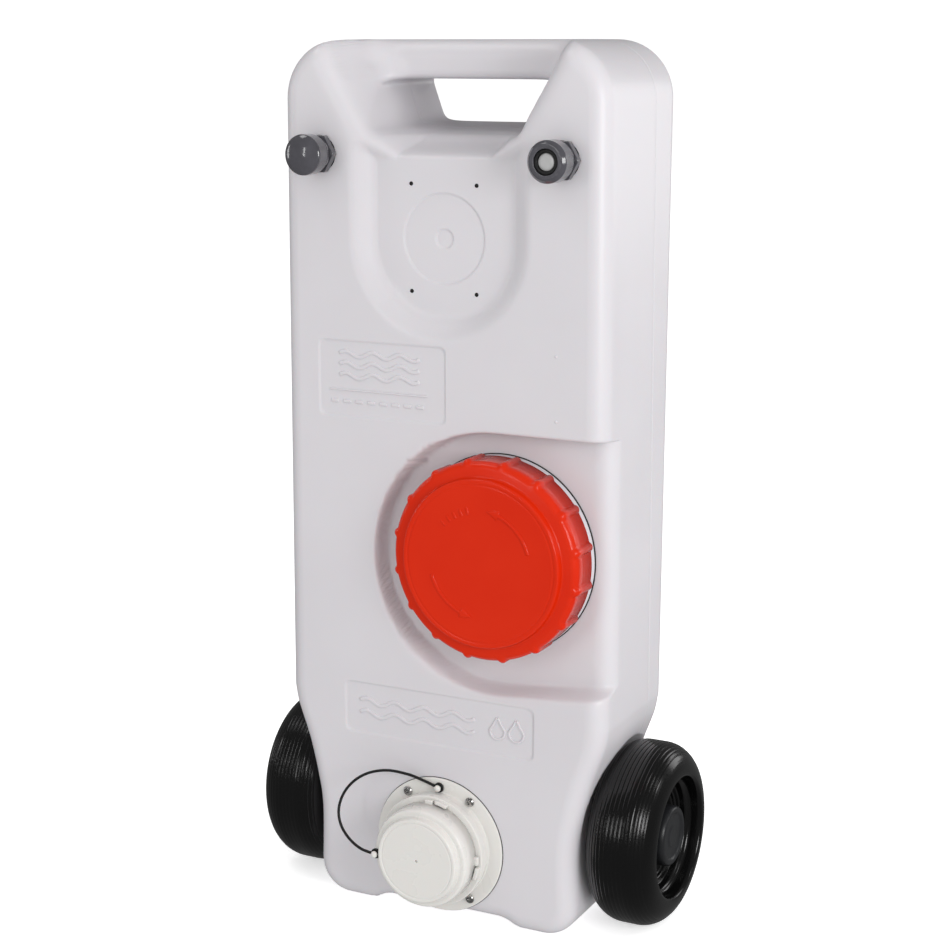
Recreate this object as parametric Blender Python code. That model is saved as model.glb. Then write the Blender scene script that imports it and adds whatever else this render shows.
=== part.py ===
"""Portable waste tote: a hollow moulded tank on two wheels, with a screw cap, a bayonet outlet and two glands.

Metres, +Z up. The origin is on the floor, under the middle of the tote's box. +X is to the right as the
front is looked at, and the front faces -Y. A "depth" is measured backwards from the tank's front face.
"""

import math

import bmesh
import bpy
from mathutils import Vector

# ---------------------------------------------------------------- driving dimensions
HEIGHT = 0.850
FRONT_Y = -0.066  # where the tank's front face stands
WALL = 0.004  # thickness of the rotationally moulded wall
GAP = 0.0003  # clearance between pieces that touch

# Tank outline, seen from the front
TOP_HALF_WIDTH = 0.1675
SHOULDER_HALF_WIDTH = 0.171
SHOULDER_Z = 0.215
TOP_CORNER_R = 0.055
FOOT_HALF_WIDTH = 0.142
FOOT_CORNER_R = 0.034
FOOT_INNER_X = 0.084
CHANNEL_HALF_WIDTH = 0.062
CHANNEL_RISE = 0.0075  # how far the underside lifts between the two feet
WAIST = [(0.142, 0.034), (0.1412, 0.090), (0.146, 0.124), (0.155, 0.161), (0.167, 0.195)]
EDGE_R = 0.018  # rounding of the front and back edges
DEPTH_AT_FLOOR = 0.1503
BACK_SLOPE = 0.0271  # the back leans away by this much for each metre of height

# Recess with the round pad, and the funnel that leads from it to the hand hole
RECESS_Z = 0.667
RECESS_MOUTH_R = 0.0957
RECESS_FLOOR_R = 0.070
RECESS_DEPTH = 0.014
PAD_Z = 0.669
PAD_R = 0.0426
PAD_DEPTH = 0.0012
DIMPLE_R = 0.0095
DIMPLE_DEPTH = 0.0012
PILOT_X = 0.034
PILOT_DZ = 0.050
PILOT_R = 0.0018
PILOT_DEPTH = 0.0025
FUNNEL_BACK = 0.075
HAND_HOLE_TOP = 0.816
HAND_HOLE_BACK = 0.155

# Cap pocket and the threaded neck in it
CAP_X = 0.0566
CAP_Z = 0.3734
POCKET_Z = 0.365
POCKET_MOUTH_R = 0.129
POCKET_FLOOR_R = 0.107
POCKET_DEPTH = 0.022
POCKET_RIGHT_LOW = 0.262
NECK_RING_R = 0.102
NECK_RING_DEPTH = 0.0152
NECK_R = 0.088
NECK_BORE_R = 0.076
NECK_TOP = -0.012

# Shallow panels: left, right, low and high edge
UPPER_PANEL = (-0.1299, 0.0077, 0.4954, 0.5696)
LOWER_PANEL = (-0.1056, 0.1006, 0.1783, 0.2307)
PANEL_DEPTH = 0.001
PANEL_CORNER_R = 0.008

# Inspection cap
CAP_R = 0.0955
CAP_RIB_R = 0.0995
CAP_RIBS = 16
CAP_SKIRT = 0.0045
CAP_BACK = 0.0145
CAP_SHOULDER = -0.020
CAP_FACE = -0.028
CAP_FACE_R = 0.0804
CAP_HOLLOW_R = 0.0724
SEAL_THICK = 0.003

# Outlet: flange, neck and bayonet cap
OUTLET_Z = 0.0773
FLANGE_R = 0.0685
FLANGE_SEAT = 0.0040
FLANGE_FRONT = -0.0025
COLLAR_R = 0.056
COLLAR_FRONT = -0.020
COLLAR_BACK = -0.013
SPOUT_R = 0.0445
SPOUT_BORE_R = 0.038
SPOUT_FRONT = -0.036
OUTLET_CAP_R = 0.050
OUTLET_DISC_R = 0.042
OUTLET_SHOULDER = -0.0425
OUTLET_FACE = -0.050
CATCH_ANGLES = [75.5, 165.5, 255.5, 345.5]
CATCH_HALF_ANGLE = 7.5
CATCH_R = 0.0545
LUG_ANGLES = [90, 180, 270, 360]
LUG_HALF_ANGLE = 5
LUG_R = 0.0535
SCREW_X = 0.034
SCREW_DZ = 0.050
SCREW_R = 0.0019
SCREW_HOLE_R = 0.0023
SCREW_HEAD_R = 0.0048
SCREW_HEAD_HEIGHT = 0.0026
SCREW_END = 0.0175
GASKET_THICK = 0.001
NECK_FOOT_R = 0.0548
NECK_HEAD_R = 0.0540
CATCH_DEPTHS = (-0.025, -0.018)
LUG_DEPTHS = (-0.0245, -0.0208)
UNDER_CAP_R = 0.036  # hollow behind the outlet cap's disc

# Tether
CORD_D = 0.0028
EYE_R = 0.0044
EYE_BORE_R = 0.0023
EYE_THICK = 0.0020
PIN_R = 0.0018
PIN_BALL_R = 0.0026
PIN_ROOT = 0.0018  # how far a pin is pressed in behind its face
FLANGE_PIN = (0.0010, 0.1370)
CAP_PIN = (-0.0477, 0.0745)
TETHER_ROUTE = [
    (-0.0038, -0.0703, 0.1382),
    (-0.0160, -0.0720, 0.1425),
    (-0.0300, -0.0750, 0.1470),
    (-0.0500, -0.0800, 0.1495),
    (-0.0680, -0.0860, 0.1460),
    (-0.0820, -0.0915, 0.1370),
    (-0.0910, -0.0970, 0.1240),
    (-0.0937, -0.1020, 0.1090),
    (-0.0890, -0.1060, 0.0950),
    (-0.0780, -0.1090, 0.0838),
    (-0.0645, -0.1110, 0.0770),
    (-0.0525, -0.1115, 0.0748),
]
CORD_STEP = 0.0070

# Glands
GLAND_X = 0.125
GLAND_Z = 0.745
GLAND_BORE_R = 0.0060
GLAND_SPIGOT_R = 0.0098
GLAND_HOLE_R = 0.0102
GLAND_HEX = 0.034  # across flats
GLAND_HEX_FRONT = -0.0090
GLAND_GASKET_THICK = 0.0012
GLAND_SPIGOT_END = 0.013
GLAND_STEM_R = 0.0135
GLAND_STEM_FRONT = -0.0215
GLAND_SEAL_THICK = 0.0027
GLAND_NUT_R = 0.0190
GLAND_NUT_BORE_R = 0.0141
GLAND_MOUTH_R = 0.0117
PLUG_R = 0.0080
LOCKNUT_HEX = 0.027
LOCKNUT_THICK = 0.006
GLAND_NUT_FRONT = -0.036
GLAND_DOME_FRONT = -0.038

# Wheels and axle
AXLE_Y = 0.026
AXLE_Z = 0.090
AXLE_R = 0.006
AXLE_HALF_LENGTH = 0.2050
TUNNEL_BORE_R = 0.0064
TUNNEL_R = 0.011
WHEEL_INNER_X = 0.145
WHEEL_OUTER_X = 0.216
WHEEL_SHOULDER_R = 0.028
WHEEL_RIM_R = 0.062
WHEEL_WEB_X = 0.190
WHEEL_BORE_R = 0.009
WHEEL_HUB_X = 0.198
WHEEL_DISH = [(0.0600, 0.2140), (0.0570, 0.2000), (0.0520, WHEEL_WEB_X)]  # (radius, x) of the outer face's steps
WHEEL_HOLLOW = [  # (radius, x) of the blow-moulded wheel's inside
    (0.0200, 0.1490), (0.0620, 0.1490), (0.0790, 0.1560), (0.0860, 0.1730), (0.0860, 0.1880), (0.0790, 0.2050),
    (0.0660, 0.2115), (0.0610, 0.1985), (0.0555, 0.1860), (0.0200, 0.1860),
]
WHEEL_VENT_R = 0.0020
WHEEL_VENT_OUT = 0.040  # how far the moulding vent stands from the axle
WELL_CLEARANCE = 0.005
BUSH_FLANGE = 0.0044
BUSH_FLANGE_R = 0.013
WASHER_R = 0.013
WASHER_THICK = 0.002
CLIP_R = 0.010
CLIP_THICK = 0.0028
HUB_CAP_R = 0.030
HUB_CAP_WALL = 0.003
HUB_CAP_X = 0.2100

# How round things are
SIDES_LARGE = 32
SIDES_MEDIUM = 24
SIDES_SMALL = 16


# ---------------------------------------------------------------- helpers
def start_clean():
    """Remove the objects of the scene that the script starts in."""
    for thing in list(bpy.data.objects):
        bpy.data.objects.remove(thing, do_unlink=True)


def plastic(name, colour, roughness, metallic=0.0):
    """A Principled BSDF material of one colour."""
    material = bpy.data.materials.new(name)
    material.use_nodes = True
    shader = material.node_tree.nodes["Principled BSDF"]
    shader.inputs["Base Color"].default_value = (*colour, 1.0)
    shader.inputs["Roughness"].default_value = roughness
    shader.inputs["Metallic"].default_value = metallic
    return material


def finish_mesh(name, bm, material, origin=(0.0, 0.0, 0.0)):
    """Turn a bmesh into a named object, smooth on its round parts, with its faces pointing out."""
    bmesh.ops.remove_doubles(bm, verts=bm.verts, dist=1e-6)
    bmesh.ops.recalc_face_normals(bm, faces=bm.faces)
    mesh = bpy.data.meshes.new(name)
    bm.to_mesh(mesh)
    bm.free()
    mesh.shade_smooth()
    mesh.set_sharp_from_angle(angle=math.radians(35))
    thing = bpy.data.objects.new(name, mesh)
    thing.location = origin
    if material:
        mesh.materials.append(material)
    bpy.context.scene.collection.objects.link(thing)
    return thing


def lathe(name, profile, origin, axis, material=None, sides=SIDES_MEDIUM):
    """Turn a profile of (radius, distance along the axis) about an axis, "X" or "Y", through origin.

    A profile that ends on the axis makes a solid disc; any other one is closed into a ring.
    """
    bm = bmesh.new()
    lengthwise = Vector((1, 0, 0)) if axis == "X" else Vector((0, 1, 0))
    verts = [bm.verts.new(lengthwise * along + Vector((0, 0, -radius))) for radius, along in profile]
    edges = [bm.edges.new(pair) for pair in zip(verts, verts[1:])]
    if profile[0][0] > 0 or profile[-1][0] > 0:
        edges.append(bm.edges.new((verts[-1], verts[0])))
    bmesh.ops.spin(
        bm, geom=verts + edges, cent=(0, 0, 0), axis=lengthwise, angle=2 * math.pi, steps=sides,
        use_merge=True,
    )
    return finish_mesh(name, bm, material, origin)


def loft(name, rings, material=None, origin=(0.0, 0.0, 0.0)):
    """Join rings of the same number of points into one closed solid with flat ends."""
    bm = bmesh.new()
    loops = [[bm.verts.new(point) for point in ring] for ring in rings]
    for low, high in zip(loops, loops[1:]):
        for i in range(len(low)):
            bm.faces.new((low[i], low[i - 1], high[i - 1], high[i]))
    bm.faces.new(loops[0])
    bm.faces.new(list(reversed(loops[-1])))
    return finish_mesh(name, bm, material, origin)


def arc(centre, radius, first, last, steps):
    """Points of an arc from one angle to another, in degrees, both ends included."""
    angles = [math.radians(first + (last - first) * i / steps) for i in range(steps + 1)]
    return [(centre[0] + radius * math.cos(a), centre[1] + radius * math.sin(a)) for a in angles]


def arc_along(centre, radius, first, last, steps):
    """Points on a circle as (radius from the axis, along), with angles counted from the +along direction."""
    return [(centre[0] + radius * math.sin(a), centre[1] + radius * math.cos(a))
            for a in (math.radians(first + (last - first) * i / steps) for i in range(steps + 1))]


def smooth_through(points, steps):
    """A smooth curve through points of any dimension (Catmull-Rom), with steps pieces between each two."""
    vectors = [Vector(p) for p in points]
    padded = [2 * vectors[0] - vectors[1], *vectors, 2 * vectors[-1] - vectors[-2]]
    curve = []
    for a, b, c, d in zip(padded, padded[1:], padded[2:], padded[3:]):
        for i in range(steps):
            t = i / steps
            curve.append(
                0.5 * (2 * b + (c - a) * t + (2 * a - 5 * b + 4 * c - d) * t**2 + (3 * b - a - 3 * c + d) * t**3)
            )
    return [tuple(p) for p in curve] + [tuple(vectors[-1])]


def offset(outline, distance):
    """Move an anticlockwise outline inwards by a distance, or outwards by a negative one, with mitred corners."""
    moved = []
    for i, point in enumerate(outline):
        here = Vector(point)
        before = (here - Vector(outline[i - 1])).normalized()
        after = (Vector(outline[(i + 1) % len(outline)]) - here).normalized()
        mitre = Vector((-before.y - after.y, before.x + after.x)) / (1 + before.dot(after))
        moved.append(tuple(here + mitre * distance))
    return moved


def mirrored(half):
    """Close a half outline, listed upwards on the right, with its mirror image on the left."""
    return half + [(-x, z) for x, z in reversed(half) if x > 1e-6]


def at_depth(outline, depth):
    """Place an outline of (x, z) at a depth behind the front face."""
    return [(x, FRONT_Y + depth, z) for x, z in outline]


def rounded_box(low_x, high_x, low_z, high_z, radius, steps=3):
    """Outline of a rectangle with rounded corners."""
    return (
        arc((high_x - radius, low_z + radius), radius, -90, 0, steps)
        + arc((high_x - radius, high_z - radius), radius, 0, 90, steps)
        + arc((low_x + radius, high_z - radius), radius, 90, 180, steps)
        + arc((low_x + radius, low_z + radius), radius, 180, 270, steps)
    )


def hexagon(across_flats):
    """Outline of a hexagon with a point to each side."""
    return arc((0, 0), across_flats / math.sqrt(3), 0, 300, 5)


def tool(thing):
    """Mark an object as a cutting or joining tool that isn't part of the model."""
    thing.hide_render = True
    thing.display_type = "WIRE"
    return thing


def combine(thing, other, operation="DIFFERENCE"):
    """Cut other out of thing, or join it on."""
    step = thing.modifiers.new(other.name, "BOOLEAN")
    step.object = tool(other)
    step.operation = operation
    step.solver = "EXACT"


def drum(name, centre, radius, near, far, sides=SIDES_MEDIUM):
    """A plain cylinder along Y for cutting, between two depths, at an (x, z) centre."""
    profile = [(0, near), (radius, near), (radius, far), (0, far)]
    return lathe(name, profile, (centre[0], FRONT_Y, centre[1]), "Y", sides=sides)


# ---------------------------------------------------------------- tank
def tank_outline():
    """The tank seen from the front, anticlockwise from the middle of its underside."""
    half = [(0, CHANNEL_RISE), (CHANNEL_HALF_WIDTH, CHANNEL_RISE), (FOOT_INNER_X, 0)]
    half += arc((FOOT_HALF_WIDTH - FOOT_CORNER_R, FOOT_CORNER_R), FOOT_CORNER_R, -90, -15, 4)
    half += smooth_through([*WAIST, (SHOULDER_HALF_WIDTH, SHOULDER_Z)], 2)
    half += arc((TOP_HALF_WIDTH - TOP_CORNER_R, HEIGHT - TOP_CORNER_R), TOP_CORNER_R, 0, 90, 6)
    half += [(0, HEIGHT)]
    return mirrored(half)


def back_depth(z):
    """Depth of the tank's leaning back at a height."""
    return DEPTH_AT_FLOOR + BACK_SLOPE * z


def tank_form(name, inset, material=None, steps=3):
    """The tank's plain outer form, or the same form taken in by a wall."""
    radius = EDGE_R - inset
    outline = tank_outline()
    rings = []
    for i in range(steps + 1):
        turn = math.radians(90 * i / steps)
        ring = offset(outline, inset + radius * (1 - math.sin(turn)))
        rings.append(at_depth(ring, inset + radius * (1 - math.cos(turn))))
    for i in reversed(range(steps + 1)):
        turn = math.radians(90 * i / steps)
        ring = offset(outline, inset + radius * (1 - math.sin(turn)))
        back = inset + radius * (1 - math.cos(turn))
        rings.append([(x, FRONT_Y + back_depth(z) - back, z) for x, z in ring])
    return loft(name, rings, material)


def recess_outline(radius):
    """A U: half a circle at the bottom, straight up into the funnel."""
    return arc((0, RECESS_Z), radius, 180, 360, 12) + [(radius, 0.762), (-radius, 0.762)]


def recess_tool(name, grow):
    """Cutter for the recess that holds the round pad."""
    return loft(name, [
        at_depth(offset(recess_outline(RECESS_MOUTH_R), -grow), -0.004),
        at_depth(offset(recess_outline(RECESS_FLOOR_R), -grow), RECESS_DEPTH + grow),
    ])


def funnel_tool(name, grow):
    """Cutter for the funnel between the shoulders, which narrows towards the hand hole."""
    mouth = mirrored([(0, 0.741), (0.050, 0.741), (0.066, 0.755), (0.084, 0.776), (0.117, 0.832), (0.132, 0.880)])
    throat = mirrored([(0, 0.757), (0.050, 0.757), (0.068, 0.762), (0.080, 0.780), (0.098, 0.815), (0.106, 0.880)])
    return loft(name, [
        at_depth(offset(mouth, -grow), -0.004),
        at_depth(offset(throat, -grow), FUNNEL_BACK + grow),
    ])


def hand_hole_tool(name, grow):
    """Cutter for the hole behind the grip, with a sloping ledge and a flared back edge."""
    def outline(ledge, half_low):
        return mirrored([
            (0, ledge), (half_low - 0.010, ledge), (half_low, ledge + 0.008), (0.092, HAND_HOLE_TOP - 0.012),
            (0.086, HAND_HOLE_TOP), (0, HAND_HOLE_TOP),
        ])
    front = outline(0.756, 0.072)
    back = outline(0.771, 0.076)
    return loft(name, [
        at_depth(offset(front, -grow), 0.060 - grow),
        at_depth(offset(back, -grow), HAND_HOLE_BACK),
        at_depth(offset(back, -grow - 0.014), 0.190),
    ])


def pocket_outline(radius):
    """A D lying on its back: half a circle on the left, open through the tank's right side."""
    beyond = 0.215
    low_right = POCKET_RIGHT_LOW + (POCKET_MOUTH_R - radius)
    return arc((CAP_X, POCKET_Z), radius, 90, 270, 12) + [(beyond, low_right), (beyond, POCKET_Z + radius)]


def pocket_tool(name, grow):
    """Cutter for the pocket around the inspection cap."""
    return loft(name, [
        at_depth(offset(pocket_outline(POCKET_MOUTH_R), -grow), -0.004),
        at_depth(offset(pocket_outline(POCKET_FLOOR_R), -grow), POCKET_DEPTH + grow),
    ])


def wheel_side(radius_grow):
    """The wheel's profile from its inner face to its tread, as (radius, x), grown by a clearance."""
    corner = arc(
        (WHEEL_RIM_R, WHEEL_INNER_X + WHEEL_SHOULDER_R), WHEEL_SHOULDER_R + radius_grow, -90, 0, 4
    )
    return [(0, WHEEL_INNER_X - radius_grow), *corner]


def wheel_well_tool(name, side, grow):
    """Cutter for the dish in the tank's side that clears one wheel."""
    profile = [(r, side * x) for r, x in wheel_side(WELL_CLEARANCE + grow)]
    profile += [(profile[-1][0], side * 0.240), (0, side * 0.240)]
    return lathe(name, profile, (0, AXLE_Y, AXLE_Z), "X", sides=SIDES_LARGE)


def panel_tool(name, panel):
    """Cutter for one shallow panel on the front."""
    outline = rounded_box(*panel, PANEL_CORNER_R)
    return loft(name, [at_depth(outline, -0.004), at_depth(outline, PANEL_DEPTH)])


def neck_tool(name):
    """The ring that rises from the pocket, and the threaded neck on it."""
    profile = [
        (0, POCKET_DEPTH + 0.002), (NECK_RING_R, POCKET_DEPTH + 0.002), (NECK_RING_R, NECK_RING_DEPTH),
        (NECK_R, NECK_RING_DEPTH), (NECK_R, NECK_TOP), (0, NECK_TOP),
    ]
    return lathe(name, profile, (CAP_X, FRONT_Y, CAP_Z), "Y", sides=SIDES_LARGE)


def feature_tools(suffix, grow):
    """The cutters that shape the outside; grown by a wall, they shape the inside to match."""
    tools = [
        recess_tool("cut_recess" + suffix, grow),
        funnel_tool("cut_funnel" + suffix, grow),
        hand_hole_tool("cut_hand_hole" + suffix, grow),
        pocket_tool("cut_pocket" + suffix, grow),
    ]
    for side, word in ((-1, "left"), (1, "right")):
        tools.append(wheel_well_tool(f"cut_wheel_well_{word}{suffix}", side, grow))
    return tools


def tank_cavity():
    """The space inside the tank with the bores that open it, shaped by the wall and by the axle's tunnel."""
    cavity = tank_form("cut_cavity", WALL, steps=2)
    for cutter in feature_tools("_inside", WALL):
        combine(cavity, cutter)
    tunnel = [(0, -0.2), (TUNNEL_R, -0.2), (TUNNEL_R, 0.2), (0, 0.2)]
    combine(cavity, lathe("cut_tunnel_wall", tunnel, (0, AXLE_Y, AXLE_Z), "X", sides=SIDES_SMALL))
    seat = drum("cut_seat_wall", (0, OUTLET_Z), FLANGE_R + 0.004, -0.01, FLANGE_SEAT + WALL)
    combine(cavity, seat)
    bores = [
        drum("cut_neck_bore", (CAP_X, CAP_Z), NECK_BORE_R, -0.020, 0.040, SIDES_LARGE),
        drum("cut_outlet_bore", (0, OUTLET_Z), SPOUT_BORE_R, -0.010, 0.030),
    ]
    for x, z in screw_places():
        bores.append(drum(f"cut_screw_{x:+.3f}_{z:.3f}", (x, z), SCREW_HOLE_R, -0.010, 0.030, 10))
    for side in (-1, 1):
        place = (side * GLAND_X, GLAND_Z)
        bores.append(drum(f"cut_gland_hole_{side:+d}", place, GLAND_HOLE_R, -0.010, 0.012, SIDES_SMALL))
    for bore in bores:
        combine(cavity, bore, "UNION")
    return cavity


def tank_body(material):
    """The one-piece tank: outer form, features, neck, cavity and bores."""
    tank = tank_form("tank_body", 0, material)
    for cutter in feature_tools("", 0):
        combine(tank, cutter)
    combine(tank, drum("cut_flange_seat", (0, OUTLET_Z), FLANGE_R + 0.0005, -0.01, FLANGE_SEAT, SIDES_LARGE))
    combine(tank, panel_tool("cut_upper_panel", UPPER_PANEL))
    combine(tank, panel_tool("cut_lower_panel", LOWER_PANEL))
    pad_floor = RECESS_DEPTH + PAD_DEPTH
    combine(tank, drum("cut_pad", (0, PAD_Z), PAD_R, 0.010, pad_floor, SIDES_LARGE))
    combine(tank, drum("cut_dimple", (0, PAD_Z), DIMPLE_R, 0.012, pad_floor + DIMPLE_DEPTH, SIDES_SMALL))
    for x in (-PILOT_X, PILOT_X):
        for z in (PAD_Z - PILOT_DZ, PAD_Z + PILOT_DZ):
            hole = drum(f"cut_pilot_{x:+.3f}_{z:.3f}", (x, z), PILOT_R, 0.010, RECESS_DEPTH + PILOT_DEPTH, 8)
            combine(tank, hole)
    axle_bore = [(0, -0.3), (TUNNEL_BORE_R, -0.3), (TUNNEL_BORE_R, 0.3), (0, 0.3)]
    combine(tank, lathe("cut_axle_bore", axle_bore, (0, AXLE_Y, AXLE_Z), "X", sides=SIDES_SMALL))
    combine(tank, neck_tool("join_neck"), "UNION")
    combine(tank, tank_cavity())
    return tank


# ---------------------------------------------------------------- inspection cap
def ribbed_outline(steps_per_rib=4):
    """The cap's edge: a circle with raised, rounded grip ribs spread evenly round it."""
    count = CAP_RIBS * steps_per_rib
    points = []
    for i in range(count):
        turn = 2 * math.pi * (i + 0.5) / count
        share = ((i + 0.5) / steps_per_rib) % 1.0
        radius = CAP_RIB_R if share < 0.5 else CAP_R
        points.append((radius * math.cos(turn), radius * math.sin(turn)))
    return points


def inspection_cap(material):
    """The large screw cap: ribbed skirt, shoulder, and a raised face."""
    origin = (CAP_X, FRONT_Y, CAP_Z)
    edge = ribbed_outline()

    def ring(depth, scale):
        return [(x * scale, depth, z * scale) for x, z in edge]

    def circle(depth, radius):
        return [(radius * x / math.hypot(x, z), depth, radius * z / math.hypot(x, z)) for x, z in edge]

    cap = loft("inspection_cap", [
        ring(CAP_BACK, 1.0), ring(CAP_SHOULDER + 0.004, 0.985), ring(CAP_SHOULDER, 0.945),
        circle(CAP_SHOULDER - 0.001, CAP_FACE_R + 0.002), circle(CAP_FACE, CAP_FACE_R - 0.002),
    ], material, origin)
    inner = CAP_R - CAP_SKIRT
    under = NECK_TOP - SEAL_THICK - 2 * GAP
    hollow = [
        (0, CAP_FACE + WALL), (CAP_HOLLOW_R, CAP_FACE + WALL), (CAP_HOLLOW_R, under),
        (inner, under), (inner, 0.030), (0, 0.030),
    ]
    combine(cap, lathe("cut_cap_hollow", hollow, origin, "Y", sides=SIDES_LARGE))
    return cap


def inspection_cap_seal(material):
    """Flat ring that the cap presses on the neck's rim."""
    near = NECK_TOP - GAP - SEAL_THICK
    inner, outer, far = NECK_BORE_R, NECK_R - 0.0005, NECK_TOP - GAP
    profile = [(inner, near), (outer, near), (outer, far), (inner, far)]
    return lathe("inspection_cap_seal", profile, (CAP_X, FRONT_Y, CAP_Z), "Y", material, SIDES_LARGE)


# ---------------------------------------------------------------- outlet
def screw_places():
    """The four flange screws as (x, z)."""
    return [(x, OUTLET_Z + dz) for x in (-SCREW_X, SCREW_X) for dz in (-SCREW_DZ, SCREW_DZ)]


def wedge(name, angle, half_angle, inner, outer, near, far, material=None):
    """A block between two radii and two depths, about the outlet's axis."""
    first, last = angle - half_angle, angle + half_angle
    outline = arc((0, 0), outer, first, last, 3) + arc((0, 0), inner, last, first, 3)
    rings = [[(x, depth, z) for x, z in outline] for depth in (near, far)]
    return loft(name, rings, material, (0, FRONT_Y, OUTLET_Z))


def outlet_flange(material):
    """Screwed-on flange with its conical neck, bayonet collar, four catches and the spout."""
    back = FLANGE_SEAT - 2 * GAP - GASKET_THICK
    profile = [
        (SPOUT_BORE_R, back), (FLANGE_R, back), (FLANGE_R, FLANGE_FRONT), (NECK_FOOT_R, FLANGE_FRONT),
        (NECK_HEAD_R, COLLAR_BACK + 0.002), (COLLAR_R, COLLAR_BACK), (COLLAR_R, COLLAR_FRONT),
        (SPOUT_R, COLLAR_FRONT), (SPOUT_R, SPOUT_FRONT), (SPOUT_BORE_R, SPOUT_FRONT),
    ]
    flange = lathe("outlet_flange", profile, (0, FRONT_Y, OUTLET_Z), "Y", material, SIDES_LARGE)
    for angle in CATCH_ANGLES:
        block = wedge(
            f"join_catch_{angle:.0f}", angle, CATCH_HALF_ANGLE, OUTLET_CAP_R + 0.0008, CATCH_R, *CATCH_DEPTHS,
        )
        combine(flange, block, "UNION")
    for x, z in screw_places():
        combine(flange, drum(f"cut_flange_screw_{x:+.3f}_{z:.3f}", (x, z), SCREW_HOLE_R, -0.010, 0.010, 10))
    pin_hole = drum("cut_pin_hole", FLANGE_PIN, PIN_R + GAP, -0.010, FLANGE_FRONT + PIN_ROOT + GAP, 12)
    combine(flange, pin_hole)
    return flange


def outlet_gasket(material):
    """Flat gasket between the flange and its seat on the tank."""
    near, far = FLANGE_SEAT - GAP - GASKET_THICK, FLANGE_SEAT - GAP
    profile = [(SPOUT_BORE_R, near), (FLANGE_R, near), (FLANGE_R, far), (SPOUT_BORE_R, far)]
    gasket = lathe("outlet_gasket", profile, (0, FRONT_Y, OUTLET_Z), "Y", material, SIDES_LARGE)
    for x, z in screw_places():
        combine(gasket, drum(f"cut_gasket_screw_{x:+.3f}_{z:.3f}", (x, z), SCREW_HOLE_R, -0.010, 0.010, 10))
    return gasket


def outlet_screws(material):
    """The four flange screws, one object each."""
    head = FLANGE_FRONT - GAP
    profile = [
        (0, head - SCREW_HEAD_HEIGHT), (SCREW_HEAD_R * 0.62, head - SCREW_HEAD_HEIGHT * 0.85),
        (SCREW_HEAD_R, head - SCREW_HEAD_HEIGHT * 0.25), (SCREW_HEAD_R, head),
        (SCREW_R, head), (SCREW_R, SCREW_END - 0.0015), (0, SCREW_END),
    ]
    for number, (x, z) in enumerate(screw_places(), start=1):
        lathe(f"outlet_screw_{number}", profile, (x, FRONT_Y, z), "Y", material, 10)


def outlet_cap(material):
    """Bayonet cap: skirt, shoulder, raised disc and four short lugs."""
    origin = (0, FRONT_Y, OUTLET_Z)
    under = SPOUT_FRONT - SEAL_THICK - 2 * GAP
    profile = [
        (0, OUTLET_FACE), (OUTLET_DISC_R - 0.0015, OUTLET_FACE), (OUTLET_DISC_R, OUTLET_FACE + 0.0015),
        (OUTLET_DISC_R + 0.001, OUTLET_SHOULDER), (OUTLET_CAP_R - 0.003, OUTLET_SHOULDER),
        (OUTLET_CAP_R, OUTLET_SHOULDER + 0.004), (OUTLET_CAP_R, COLLAR_FRONT - GAP),
        (SPOUT_R + 0.0012, COLLAR_FRONT - GAP), (SPOUT_R + 0.0012, under), (UNDER_CAP_R, under),
        (UNDER_CAP_R, OUTLET_FACE + WALL), (0, OUTLET_FACE + WALL),
    ]
    cap = lathe("outlet_cap", profile, origin, "Y", material, SIDES_LARGE)
    for angle in LUG_ANGLES:
        lug = wedge(
            f"join_lug_{angle:.0f}", angle, LUG_HALF_ANGLE, OUTLET_CAP_R - 0.002, LUG_R, *LUG_DEPTHS,
        )
        combine(cap, lug, "UNION")
    boss = drum("join_pin_boss", CAP_PIN, EYE_R + 0.0002, OUTLET_SHOULDER, under, SIDES_SMALL)
    combine(cap, boss, "UNION")
    pin_hole = drum("cut_cap_pin_hole", CAP_PIN, PIN_R + GAP, OUTLET_FACE, OUTLET_SHOULDER + PIN_ROOT + GAP, 12)
    combine(cap, pin_hole)
    return cap


def outlet_cap_seal(material):
    """Flat ring between the spout's rim and the outlet cap."""
    near, far = SPOUT_FRONT - GAP - SEAL_THICK, SPOUT_FRONT - GAP
    profile = [(SPOUT_BORE_R, near), (SPOUT_R, near), (SPOUT_R, far), (SPOUT_BORE_R, far)]
    return lathe("outlet_cap_seal", profile, (0, FRONT_Y, OUTLET_Z), "Y", material, SIDES_LARGE)


# ---------------------------------------------------------------- tether
def tether_pin(name, place, face, material):
    """Ball-headed pin that stands out of a face along the outlet's axis."""
    neck = face - EYE_THICK - 3 * GAP
    centre = neck - PIN_BALL_R * math.cos(math.asin(PIN_R / PIN_BALL_R))
    profile = [(0, face + PIN_ROOT), (PIN_R, face + PIN_ROOT)]
    profile += arc_along((0, centre), PIN_BALL_R, math.degrees(math.asin(PIN_R / PIN_BALL_R)), 180, 4)
    return lathe(name, profile, (place[0], FRONT_Y, place[1]), "Y", material, 12)


def tether_eye(name, place, face, material):
    """The eyelet moulded on one end of the tether, round its pin."""
    near, far = face - GAP - EYE_THICK, face - GAP
    profile = [(EYE_BORE_R, near), (EYE_R, near), (EYE_R, far), (EYE_BORE_R, far)]
    return lathe(name, profile, (place[0], FRONT_Y, place[1]), "Y", material, 16)


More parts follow.
